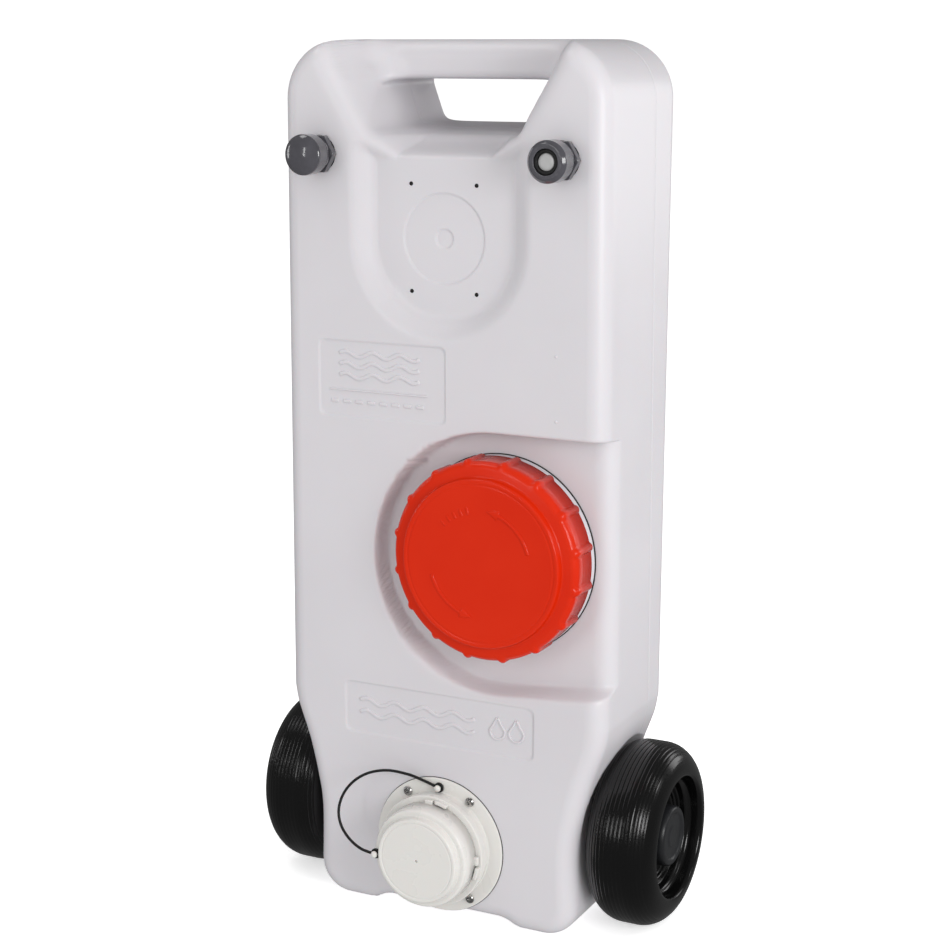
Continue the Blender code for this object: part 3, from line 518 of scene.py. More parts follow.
def ribbon(name: str, path: Array, width: Array | float, height: float, surface: Callable[[Array, Array], Array],
           finish: Finish) -> bpy.types.Object:
    """A raised moulded stroke: a low rounded profile carried along a path on a surface that faces -Y.

    At a share c across, from -1 to 1, it stands height times (1 - c^6) proud, and its edges go just under.

    Args:
        name: the piece's name.
        path: the stroke's middle as (x, z).
        width: its width, or one per point.
        height: how proud it stands.
        surface: gives the y of the surface under (x, z).
        finish: its finish.

    Returns:
        The piece.
    """
    steps = 8
    line = np.asarray(path, float)
    along = np.gradient(line, axis=0)
    along /= np.linalg.norm(along, axis=1, keepdims=True)
    across = np.stack([-along[:, 1], along[:, 0]], axis=1)
    half = np.broadcast_to(np.asarray(width, float) / 2, (len(line),))
    share = np.sin(np.linspace(-np.pi / 2, np.pi / 2, steps + 1))
    flat = line[:, None] + across[:, None] * (half[:, None] * share[None, :])[..., None]
    ends = np.ones(len(line))
    ends[0] = ends[-1] = 0.0
    proud = height * (1 - share[None, :] ** 6) * ends[:, None] - SKIN * (1 - ends[:, None] * (1 - share**6)[None, :])
    y = surface(flat[..., 0], flat[..., 1]) - proud
    points = np.stack([flat[..., 0], y, flat[..., 1]], axis=-1)
    return make_piece(name, points, grid_quads(len(line), steps + 1), finish)


def report(piece: bpy.types.Object) -> None:
    """Logs a piece's name and its size in triangles."""
    triangles = sum(len(p.vertices) - 2 for p in piece.data.polygons)
    log.info("%s: %d triangles", piece.name, triangles)


# ---------------------------------------------------------------- tank
@dataclass(frozen=True)
class Wall:
    """The section of a wall that falls into a hollow: a straight slope with a rounded brink and foot."""

    run: float  # how far in the wall reaches
    depth: float
    brink: float  # how far the brink's rounding reaches to each side
    foot: float
    blend: float = 0.0012  # width of the rounding where it meets another hollow

    def depth_at(self, inside: Array) -> Array:
        """Depth at a distance in from the brink: the height of the rounded polyline that is 0 outside, falls to
        the depth over the run, and then stays level."""
        far = 0.06
        line = filleted([(-far, 0), (0, 0), (self.run, self.depth), (self.run + far, self.depth)],
                        [0, self.brink, self.foot, 0], steps=16)
        return np.interp(inside, line[:, 0], line[:, 1])


@dataclass
class Tank:
    """The rotationally moulded tank, as a front and a back half that meet at the mould's parting line.

    Each half is a sheet over one grid of rows and columns, which stretches to the tank's outline. The sheet's
    depth is the sum of what the hollows take away and of the rounding near the outline. A strip joins the
    sheet's edge to the parting line, and another does so in the hand hole.
    """

    front: float
    height: float
    cap_x: float
    cap_z: float
    outlet_z: float
    axle_y: float
    axle_z: float
    top_half: float = 0.1675
    top_corner: float = 0.055
    foot_half: float = 0.142
    foot_corner: float = 0.034
    waist: tuple = ((0.142, 0.034), (0.1412, 0.090), (0.146, 0.124), (0.155, 0.161), (0.167, 0.195), (0.171, 0.215))
    channel_half: float = 0.062
    channel_rise: float = 0.0075
    foot_inner: float = 0.084
    edge: float = 0.018
    floor_depth: float = 0.1503
    lean: float = 0.0271
    parting: float = 0.115
    groove: float = 0.0004
    brink: float = 0.0012  # how far from the parting line its groove begins
    recess_z: float = 0.667
    recess_r: float = 0.0930
    recess_top: float = 0.762
    recess_wall: Wall = Wall(0.020, 0.014, 0.005, 0.004)
    pad_z: float = 0.669
    pad_r: float = 0.0426
    dimple_r: float = 0.0095
    step: float = 0.0012  # how deep the pad, its dimple and the panels are sunk
    step_width: float = 0.0010  # how wide the wall of such a step is
    funnel_wall: Wall = Wall(0.016, 0.075, 0.022, 0.030, 0.012)
    funnel: tuple = ((0.050, 0.741), (0.066, 0.755), (0.084, 0.776), (0.117, 0.832), (0.132, 0.880))
    hole_z: float = 0.7880
    hole_half_z: float = 0.0255
    hole_back_z: float = 0.7935
    hole_back_half_z: float = 0.0225
    hole_low: float = 0.077
    hole_high: float = 0.094
    hole_edge: float = 0.007
    hole_back_edge: float = 0.009
    ledge_rows: tuple = (0.741, 0.757)  # heights of the funnel's lower edge, where the grid is fine
    ledge_ease: tuple = (0.25, 0.03)  # the ledge's wall falls this share more gently, over this height
    pocket_z: float = 0.365
    pocket_r: float = 0.127
    pocket_right_low: float = 0.2524
    pocket_wall: Wall = Wall(0.0016, 0.022, 0.0034, 0.0016)
    pocket_ease: tuple = (0.75, 0.11)
    neck_hole: float = 0.0765
    outlet_hole: float = 0.040
    panels: tuple = ((-0.1299, 0.0077, 0.4954, 0.5696), (-0.1056, 0.1006, 0.1783, 0.2307))
    panel_corner: float = 0.008
    panel_height: float = 0.53  # where the grid's columns are laid out before they follow the outline
    well_clearance: float = 0.005
    wheel_inner: float = 0.145
    wheel_rim: float = 0.062
    wheel_shoulder: float = 0.028

    @classmethod
    def from_frame(cls) -> "Tank":
        """Takes the tank's place and the fittings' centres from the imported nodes' boxes."""
        low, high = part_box("tank_body")
        cap_low, cap_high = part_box("inspection_cap")
        flange_low, flange_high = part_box("outlet_flange")
        wheel_low, wheel_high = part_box("wheel_right")
        neck_top = 0.012  # the neck stands this far in front of the front face
        return cls(
            front=low.y + neck_top, height=high.z, cap_x=(cap_low.x + cap_high.x) / 2,
            cap_z=(cap_low.z + cap_high.z) / 2, outlet_z=(flange_low.z + flange_high.z) / 2,
            axle_y=(wheel_low.y + wheel_high.y) / 2, axle_z=(wheel_low.z + wheel_high.z) / 2,
        )

    def __post_init__(self) -> None:
        foot = arc((self.foot_half - self.foot_corner, self.foot_corner), self.foot_corner, -90, -15, 14)
        top = arc((self.top_half - self.top_corner, self.height - self.top_corner), self.top_corner, 0, 90, 20)
        self.half_line = np.vstack([foot, smoothed(self.waist, 8), top])
        across = np.linspace(0, self.foot_inner, 12)
        rise = smooth_step((self.foot_inner - across) / (self.foot_inner - self.channel_half))
        under = np.stack([across, rise * self.channel_rise], axis=1)
        right = np.vstack([under, self.half_line])
        self.outline = np.vstack([right, (right * (-1, 1))[::-1]])
        self.width_at_panel = float(self.half_width(np.array(self.panel_height)))
        self.hollows = [
            (self.recess_outline(), self.recess_wall),
            (self.mirrored(self.funnel, self.ledge_rows[0]), self.funnel_wall),
            (self.pocket_outline(), self.pocket_wall),
        ]

    @staticmethod
    def mirrored(half: Line, low: float) -> Array:
        """An outline from its right side, listed upwards, and the height of its level bottom."""
        right = smoothed([*half], 4)
        return np.vstack([[(0.0, low)], right, (right * (-1, 1))[::-1]])

    def recess_outline(self) -> Array:
        """A U with rounded upper corners: half a circle, then straight up."""
        r = self.recess_r
        corners = filleted([(r, self.recess_z), (r, self.recess_top), (-r, self.recess_top), (-r, self.recess_z)],
                           [0, 0.018, 0.018, 0], steps=8)
        return np.vstack([arc((0, self.recess_z), r, 180, 360, 40)[1:-1], corners])

    def pocket_outline(self) -> Array:
        """Half a circle on the left that runs on through the tank's right side, its lower edge rising."""
        beyond = 0.23
        curve = arc((self.cap_x, self.pocket_z), self.pocket_r, 90, 275, 52)
        return np.vstack([curve, [(beyond, self.pocket_right_low), (beyond, self.pocket_z + self.pocket_r)]])

    def half_width(self, z: Array) -> Array:
        """Half the tank's width at a height."""
        return np.interp(z, self.half_line[:, 1], self.half_line[:, 0])

    def lines(self) -> tuple[Array, Array]:
        """The grid's columns and rows, close together at every edge that needs them.

        Returns:
            Columns as x at the panels' height, and rows as heights.
        """
        fine, coarse = ((0.0010, 0.0027))
        turn = np.radians(np.linspace(0, 90, 9))
        near_edge = self.edge * (1 - np.cos(turn))
        growth = 0.35
        half, step = self.width_at_panel, self.step_width
        around = np.radians(np.arange(90, 181, 11.25))  # places on the pocket's round edge
        marks = [self.hole_low, self.pad_r, self.pad_r - step, self.dimple_r, self.dimple_r - step]
        marks += [-m for m in marks]
        marks += [self.cap_x - self.neck_hole, self.cap_x + self.neck_hole]
        marks += list(self.cap_x + self.pocket_r * np.cos(around[2:]))
        for left, right, _, _ in self.panels:
            marks += [left, left + step, right - step, right]
        marks = sorted([m for m in marks if abs(m) < half - self.edge - 0.002] + [-half + self.edge, half - self.edge])
        inner = graded(marks, fine, coarse, growth)
        columns = np.concatenate([near_edge[:-1] - half, inner, half - near_edge[-2::-1]])
        marks = [self.edge, self.height - self.edge]
        marks += [self.outlet_z - self.outlet_hole, self.outlet_z + self.outlet_hole]
        marks += [self.cap_z - self.neck_hole, self.cap_z + self.neck_hole]
        marks += [self.pocket_z + side * self.pocket_r * s for s in np.sin(around[:-2]) for side in (-1, 1)]
        marks += [self.hole_z - self.hole_half_z, self.hole_z + self.hole_half_z, *self.ledge_rows]
        for radius in (self.pad_r, self.pad_r - step, self.dimple_r, self.dimple_r - step):
            marks += [self.pad_z - radius, self.pad_z + radius]
        for _, _, low, high in self.panels:
            marks += [low, low + step, high - step, high]
        inner = graded(sorted(marks), fine, coarse, growth)
        rows = np.concatenate([near_edge[:-1], inner, self.height - near_edge[-2::-1]])
        return columns, rows

    @staticmethod
    def rounded_block(x: Array, z: Array, centre: tuple[float, float], half: tuple[float, float], power: float,
                      reach: float) -> tuple[Array, Array]:
        """Bends square rings of grid lines about a centre into rounded ones.

        With s and t the shares of the half sizes and m the larger of the two, a point moves to
        (s, t) * m / (|s|^p + |t|^p)^(1/p), fully up to m = 1 and less and less up to m = 1 + reach.

        Args:
            x: the points' x.
            z: the points' z.
            centre: the rings' centre.
            half: half the width and height of the ring with m = 1.
            power: p; 2 makes circles.
            reach: how far outside the ring the bending fades out.

        Returns:
            The bent x and z.
        """
        s, t = (x - centre[0]) / half[0], (z - centre[1]) / half[1]
        m = np.maximum(np.abs(s), np.abs(t))
        norm = np.maximum((np.abs(s) ** power + np.abs(t) ** power) ** (1 / power), 1e-9)
        share = (m / norm - 1) * (1 - smooth_step((m - 1) / reach))
        return x + s * share * half[0], z + t * share * half[1]

    def hole_shear(self, x: Array, z: Array, reach: float) -> Array:
        """Slants the hand hole's sides: it is wider at its top than at its bottom.

        The width grows evenly with the height; the slant fades out beyond the hole.
        """
        s, t = x / self.hole_low, (z - self.hole_z) / self.hole_half_z
        m = np.maximum(np.abs(s), np.abs(t))
        wish = self.hole_low + (self.hole_high - self.hole_low) * (np.clip(t, -1, 1) + 1) / 2
        return x * (1 + (wish / self.hole_low - 1) * (1 - smooth_step((m - 1) / reach)))

    def place(self, columns: Array, rows: Array) -> tuple[Array, Array]:
        """Puts the grid's crossings on the tank, seen from the front.

        A column moves out or in by what the half width differs from its value at the panels, times a power of
        its share of the width, so that the outer column follows the outline. The lowest rows lift between the
        feet. Blocks round the pad, the neck, the outlet and the hand hole are then bent into rings.

        Returns:
            x and z of every crossing, one row of values per grid row.
        """
        u, low = np.meshgrid(columns / self.width_at_panel, rows)
        missing = self.width_at_panel - self.half_width(low)
        power = np.clip(0.5 * self.width_at_panel / np.maximum(np.abs(missing), 1e-6), 1, 6)
        x = u * self.width_at_panel - np.sign(u) * missing * np.abs(u) ** power
        rise = self.channel_rise * smooth_step((self.foot_inner - np.abs(x)) / (self.foot_inner - self.channel_half))
        z = low + rise * np.clip(1 - low / self.foot_corner, 0, 1)
        hand_reach = 0.8
        for centre, half, power, reach in (
                ((0, self.pad_z), (self.pad_r, self.pad_r), 2, 0.55),
                ((self.cap_x, self.cap_z), (self.neck_hole, self.neck_hole), 2, 0.40),
                ((0, self.outlet_z), (self.outlet_hole, self.outlet_hole), 2, 0.55),
                ((0, self.hole_z), (self.hole_low, self.hole_half_z), 9, hand_reach)):
            x, z = self.rounded_block(x, z, centre, half, power, reach)
        return self.hole_shear(x, z, hand_reach), z

    def hollow_depth(self, x: Array, z: Array) -> Array:
        """How deep the recess, funnel and pocket are at (x, z): the largest, with the others blended in."""
        depth = np.zeros_like(x)
        for outline, wall in self.hollows:
            inside = distance_to(x, z, outline)
            if wall is self.pocket_wall:  # its lower wall leans back more than the others
                inside = inside * (1 - self.pocket_ease[0] * smooth_step((self.pocket_z - z) / self.pocket_ease[1]))
            elif wall is self.funnel_wall:  # and so does the ledge below the hand hole
                inside = inside * (1 - self.ledge_ease[0] * smooth_step((self.hole_z - z) / self.ledge_ease[1]))
            depth = soft_max(depth, wall.depth_at(inside), wall.blend)
        return depth

    def sunk_depth(self, x: Array, z: Array) -> Array:
        """The shallow steps of the two panels, the pad and its dimple, each one step deep."""
        width, depth = self.step_width, np.zeros_like(x)
        for left, right, low, high in self.panels:
            corners = [(left, low), (right, low), (right, high), (left, high)]
            outline = filleted(corners, self.panel_corner, steps=6, closed=True)
            depth += self.step * smooth_step(distance_to(x, z, outline) / width)
        from_pad = np.hypot(x, z - self.pad_z)
        for radius in (self.pad_r, self.dimple_r):
            depth += self.step * smooth_step((radius - from_pad) / width)
        return depth

    @staticmethod
    def rounding(distance: Array, radius: float) -> Array:
        """Depth of a quarter-round edge at a distance in from it: r - sqrt(r^2 - (r - d)^2)."""
        inside = np.clip(radius - distance, 0, radius)
        return radius - np.sqrt(np.maximum(radius**2 - inside**2, 0))

    def front_depth(self, x: Array, z: Array, hole: Array) -> Array:
        """Depth of the front sheet: hollows, shallow steps, and the rounding towards the outline and the hand
        hole's edge."""
        from_edge = np.abs(distance_to(x, z, self.outline, closed=False))
        from_hole = np.abs(distance_to(x, z, hole))
        return (self.hollow_depth(x, z) + self.sunk_depth(x, z) + self.rounding(from_edge, self.edge)
                + self.rounding(from_hole, self.hole_edge))

    def back_depth(self, x: Array, z: Array, hole: Array) -> Array:
        """Depth of the back sheet: the leaning back less the rounding towards the outline and the hand hole."""
        from_edge = np.abs(distance_to(x, z, self.outline, closed=False))
        from_hole = np.abs(distance_to(x, z, hole))
        return (self.floor_depth + self.lean * z - self.rounding(from_edge, self.edge)
                - self.rounding(from_hole, self.hole_back_edge))

    def clear_wheels(self, x: Array, y: Array, z: Array) -> Array:
        """Pulls the sides in where a wheel turns: |x| is held under the wheel's inner face with a clearance,
        which is flat up to the rim's radius and then follows the tyre's quarter circle."""
        r = np.hypot(y - self.axle_y, z - self.axle_z)
        radius = self.wheel_shoulder + self.well_clearance
        out = np.clip(r - self.wheel_rim, 0, radius)
        limit = self.wheel_inner + self.wheel_shoulder - np.sqrt(radius**2 - out**2)
        limit = limit + np.clip(r - self.wheel_rim - radius, 0, None) * 4
        held = -soft_max(-np.abs(x), -limit, 0.002)
        return np.sign(x) * np.minimum(held, np.abs(x))

    @staticmethod
    def ring(grid: Array, block: tuple[int, int, int, int]) -> Array:
        """The values of a grid round a block's edge, anticlockwise from its lower left corner."""
        low, high, left, right = block
        return np.concatenate([
            grid[low, left:right], grid[low:high, right], grid[high, right:left:-1], grid[high:low:-1, left],
        ])

    @staticmethod
    def block(columns: Array, rows: Array, centre: tuple[float, float],
              half: tuple[float, float]) -> tuple[int, int, int, int]:
        """The rows and columns nearest to the edges of a box: low, high, left, right."""
        edges = [(lines, middle + side * reach) for lines, middle, reach in
                 ((rows, centre[1], half[1]), (columns, centre[0], half[0])) for side in (-1, 1)]
        return tuple(int(np.abs(lines - edge).argmin()) for lines, edge in edges)

    def half_shell(self, name: str, back: bool) -> bpy.types.Object:
        """Builds one half of the tank.

        Args:
            name: the piece's name.
            back: True for the half behind the parting line.

        Returns:
            The piece.
        """
        columns, rows = self.lines()
        hand = self.block(columns, rows, (0, self.hole_z), (self.hole_low, self.hole_half_z))
        x, z = self.place(columns, rows)
        front_hole = np.stack([self.ring(x, hand), self.ring(z, hand)], axis=1)
        # the back of the hand hole is a little higher: the same ring, moved and scaled about the hole's middle
        scale = self.hole_back_half_z / self.hole_half_z
        back_hole = np.stack([front_hole[:, 0], (front_hole[:, 1] - self.hole_z) * scale + self.hole_back_z], axis=1)
        front_ring_depth = self.front_depth(front_hole[:, 0], front_hole[:, 1], front_hole)
        holes = [hand]
        if back:
            # the back sheet's lines near the hand hole shift with it
            s, t = x / self.hole_high, (z - self.hole_z) / self.hole_half_z
            fade = 1 - smooth_step((np.maximum(np.abs(s), np.abs(t)) - 1.15) / 0.8)
            fade = fade * smooth_step(np.abs(distance_to(x, z, self.outline, closed=False)) / 0.030)
            z = z + fade * ((np.clip(t, -1, 1) * self.hole_half_z) * (scale - 1) + self.hole_back_z - self.hole_z)
            depth = self.back_depth(x, z, back_hole)
        else:
            depth = self.front_depth(x, z, front_hole)
            for centre, half in (((self.cap_x, self.cap_z), self.neck_hole), ((0, self.outlet_z), self.outlet_hole)):
                holes.append(self.block(columns, rows, centre, (half, half)))
        keep = np.ones((len(rows) - 1, len(columns) - 1), bool)
        for low, high, left, right in holes:
            keep[low:high, left:right] = False
        points = [np.stack([x, self.front + depth, z], axis=-1).reshape(-1, 3)]
        quads = [grid_quads(len(rows), len(columns))[keep.ravel()]]
        whole = (0, len(rows) - 1, 0, len(columns) - 1)
        steps = 22
        back_ring_depth = self.back_depth(back_hole[:, 0], back_hole[:, 1], back_hole)
        edge_line = np.stack([self.ring(x, whole), self.ring(z, whole)], axis=1)
        edge_depth = self.ring(depth, whole)
        share = (self.parting - front_ring_depth) / (back_ring_depth - front_ring_depth)
        middle = front_hole + (back_hole - front_hole) * share[:, None]
        hole_line = back_hole if back else front_hole
        hole_depth = back_ring_depth if back else front_ring_depth
        for line, end, starts, outwards in ((edge_line, edge_line, edge_depth, 1), (hole_line, middle, hole_depth, -1)):
            strip = self.strip(line, end, starts, steps, outwards)
            first = sum(len(p) for p in points)
            quads.append(grid_quads(steps + 3, len(line), around=True, first=first))
            points.append(strip)
        all_points = np.concatenate(points)
        all_points[:, 0] = self.clear_wheels(all_points[:, 0], all_points[:, 1], all_points[:, 2])
        piece = make_piece(name, all_points, np.concatenate(quads), Finishes.TANK)
        self.drop_loose(piece)
        return piece

    def strip(self, line: Array, end: Array, depth: Array, steps: int, outwards: int) -> Array:
        """The band from a sheet's edge to the parting line, which is sunk in a fine groove.

        Args:
            line: (x, z) round the sheet's edge.
            end: (x, z) round the parting line.
            depth: the edge's depth at each point.
            steps: rows up to the groove's brink.
            outwards: 1 where the band faces away from the ring's middle, -1 in the hand hole.

        Returns:
            The band's points, row by row.
        """
        part_way, part_deep = 0.45, 0.15  # the row between the groove's brink and its bottom
        brink = self.parting + np.sign(depth - self.parting) * self.brink
        shares = np.linspace(0, 1, steps + 1)[:, None]
        depths = np.concatenate([depth[None] + (brink - depth)[None] * shares,
                                 (self.parting + (brink - self.parting) * part_way)[None],
                                 np.full((1, len(line)), self.parting)])
        to_end = (depths - depth[None]) / (self.parting - depth)[None]
        flat = line[None] + (end - line)[None] * to_end[..., None]
        along = np.roll(end, -1, axis=0) - np.roll(end, 1, axis=0)
        length = np.maximum(np.linalg.norm(along, axis=1, keepdims=True), 1e-9)
        out = np.stack([along[:, 1], -along[:, 0]], axis=1) / length * outwards
        sunk = np.zeros(len(depths))
        sunk[-1], sunk[-2] = self.groove, self.groove * part_deep
        flat = flat - out[None] * sunk[:, None, None]
        return np.stack([flat[..., 0], self.front + depths, flat[..., 1]], axis=-1).reshape(-1, 3)

    @staticmethod
    def drop_loose(piece: bpy.types.Object) -> None:
        """Removes the vertices that no face uses, inside the holes."""
        bm = bmesh.new()
        bm.from_mesh(piece.data)
        loose = [v for v in bm.verts if not v.link_faces]
        bmesh.ops.delete(bm, geom=loose, context="VERTS")
        bm.to_mesh(piece.data)
        bm.free()

    def front_y(self, x: Array, z: Array) -> Array:
        """The y of the front's skin at (x, z), away from the edges."""
        return self.front + self.hollow_depth(x, z) + self.sunk_depth(x, z)

    def build(self) -> list[bpy.types.Object]:
        """Builds both halves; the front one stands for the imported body.

        Returns:
            The pieces.
        """
        halves = [self.half_shell("tank_front_half", back=False), self.half_shell("tank_back_half", back=True)]
        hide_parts("tank_body")
        for piece in halves:
            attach(piece, "tank")
        return halves


# ---------------------------------------------------------------- small moulded shapes
def hexagonal(angle: Array) -> Array:
    """Distance to a hexagon's edge, as a multiple of half its width across flats: 1 / cos of the angle to the
    nearest flat's middle."""
    return 1 / np.cos(np.mod(angle, np.pi / 3) - np.pi / 6)


def ribbed(count: int, half_width: float, offset: float) -> Callable[[Array], Array]:
    """Makes a function of the angle that is 1 on the ridge of each of several ribs and 0 between them.

    Args:
        count: ribs round the axis.
        half_width: half a rib's width in degrees.
        offset: where the first rib stands, in degrees.

    Returns:
        The function; its value is 1 less the square of the share of the half width.
    """
    def height(angle: Array) -> Array:
        pitch = 360 / count
        away = np.abs(np.mod(np.degrees(angle) - offset + pitch / 2, pitch) - pitch / 2)
        return 1 - np.clip(away / half_width, 0, 1) ** 2
    return height


def pillow(name: str, place: Callable[[Array, Array, Array], Array], finish: Finish) -> bpy.types.Object:
    """A block with rounded edges: directions over a sphere are pushed out to |a|^9 + |b|^9 + |c|^9 = 1, and
    a, b and c, each from -1 to 1, are then put in place.

    Args:
        name: the piece's name.
        place: turns arrays of a, b and c into points.
        finish: its finish.

    Returns:
        The piece.
    """
    power, steps = 9, 20
    tilt, turn = np.meshgrid(np.linspace(0, np.pi, steps + 1), 2 * np.pi * np.arange(2 * steps) / (2 * steps),
                             indexing="ij")
    a, b, c = np.sin(tilt) * np.cos(turn), np.sin(tilt) * np.sin(turn), np.cos(tilt)
    length = (np.abs(a) ** power + np.abs(b) ** power + np.abs(c) ** power) ** (-1 / power)
    points = place(a * length, b * length, c * length)
    return make_piece(name, points, grid_quads(steps + 1, 2 * steps, around=True), finish)


def grooved(profile: Array, places: Sequence[float], half_width: float, depth: float) -> Array:
    """Cuts fine grooves into a profile: near each place along it, points move against the outward normal by
    depth times the squared cosine of the share of the half width.

    Args:
        profile: points (radius, along) with the outside on the larger radius.
        places: the grooves' middles as the distance from the profile's first point.
        half_width: half a groove's width.
        depth: a groove's depth.

    Returns:
        The changed points.
    """
    walked = np.concatenate(([0.0], np.cumsum(np.linalg.norm(np.diff(profile, axis=0), axis=1))))
    even = np.arange(0, walked[-1], half_width / 3)
    line = np.stack([np.interp(even, walked, profile[:, i]) for i in (0, 1)], axis=1)
    away = np.abs(even[:, None] - np.asarray(places)[None]).min(axis=1)
    sunk = depth * np.cos(np.clip(away / half_width, 0, 1) * np.pi / 2) ** 2
    slope = np.gradient(line, axis=0)
    slope /= np.linalg.norm(slope, axis=1, keepdims=True)
    normal = np.stack([slope[:, 1], -slope[:, 0]], axis=1)
    return line - normal * sunk[:, None]


# ---------------------------------------------------------------- marks moulded on the tank
@dataclass
class TankMarks:
    """Generic relief on the two panels, and four black discs round the pad that paint the shade in its pilot holes."""

    tank: Tank
    proud: float = 0.0011
    pilot_x: float = 0.034
    pilot_dz: float = 0.050
    pilot_r: float = 0.0019
    vents: tuple = ((0.1204, 0.5688), (0.1210, 0.5090))  # small raised marks that the mould's vents leave
    wave_width: float = 0.0040
    line_width: float = 0.0018
    dash_width: float = 0.0036
    drop_width: float = 0.0024
    dash_pitch: float = 0.0132

    def wave(self, name: str, first: float, last: float, z: float, swing: float, length: float,
             width: float) -> bpy.types.Object:
        """A stroke along z + swing * sin(2 pi x / length)."""
        x = np.linspace(first, last, max(24, int((last - first) / 0.0012)))
        path = np.stack([x, z + swing * np.sin(2 * np.pi * (x - first) / length)], axis=1)
        return ribbon(name, path, width, self.proud, self.tank.front_y, Finishes.TANK)

    def drop(self, name: str, x: float, z: float, size: float) -> bpy.types.Object:
        """A water drop's outline: a circle whose upper half is drawn up to a point.

        The height is size * (cos a + the share of the point), and the width shrinks towards the point.
        """
        a = np.linspace(0, 2 * np.pi, 73)
        up = np.clip(np.cos(a), 0, None)
        path = np.stack([x + size * np.sin(a) * (1 - 0.55 * up**2), z + size * (np.cos(a) + 0.75 * up**4)], axis=1)
        return ribbon(name, path, self.drop_width, self.proud, self.tank.front_y, Finishes.TANK)

    def build(self) -> list[bpy.types.Object]:
        """Builds the marks.

        Returns:
            The pieces.
        """
        pieces = [self.wave(f"upper_panel_wave_{i + 1}", -0.108, -0.020, 0.5565 - 0.0105 * i, 0.0026, 0.0295,
                            self.wave_width) for i in range(3)]
        pieces.append(self.wave("upper_panel_line", -0.119, -0.012, 0.5215, 0.0, 1.0, self.line_width))
        pieces += [self.wave(f"upper_panel_dash_{i + 1}", -0.1165 + self.dash_pitch * i, -0.1085 + self.dash_pitch * i,
                             0.5105, 0.0, 1.0, self.dash_width) for i in range(8)]
        pieces += [self.wave(f"lower_panel_wave_{i + 1}", -0.090, 0.038, 0.2115 - 0.0125 * i, 0.0030, 0.032,
                             self.wave_width) for i in range(2)]
        pieces += [self.drop(f"lower_panel_drop_{i + 1}", x, 0.2025, 0.0078) for i, x in enumerate((0.062, 0.082))]
        for i, x in enumerate((-self.pilot_x, self.pilot_x)):
            for j, z in enumerate((self.tank.pad_z - self.pilot_dz, self.tank.pad_z + self.pilot_dz)):
                lathe = Lathe(Axis.DEPTH, Vector((x, float(self.tank.front_y(np.array([x]), np.array([z]))[0]), z)))
                r = self.pilot_r
                # Each pilot hole is a black disc a little proud of the pad: painted shade of the hole.
                lip = [(0, -0.0003), (r * 0.8, -0.0004), (r, -0.0003), (r * 1.1, 0.0005)]
                pieces.append(lathe.turn(f"pilot_hole_shade_disc_{2 * i + j + 1}", lip, Finishes.RUBBER, 24))
        for i, (x, z) in enumerate(self.vents):
            pip = [(0, -0.0006), (0.0008, -0.0005), (0.0014, -0.0002), (0.0018, SKIN)]
            place = Vector((x, self.tank.front, z))
            pieces.append(Lathe(Axis.DEPTH, place).turn(f"vent_mark_{i + 1}", pip, Finishes.TANK, 24))
        for piece in pieces:
            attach(piece, "tank")
        return pieces


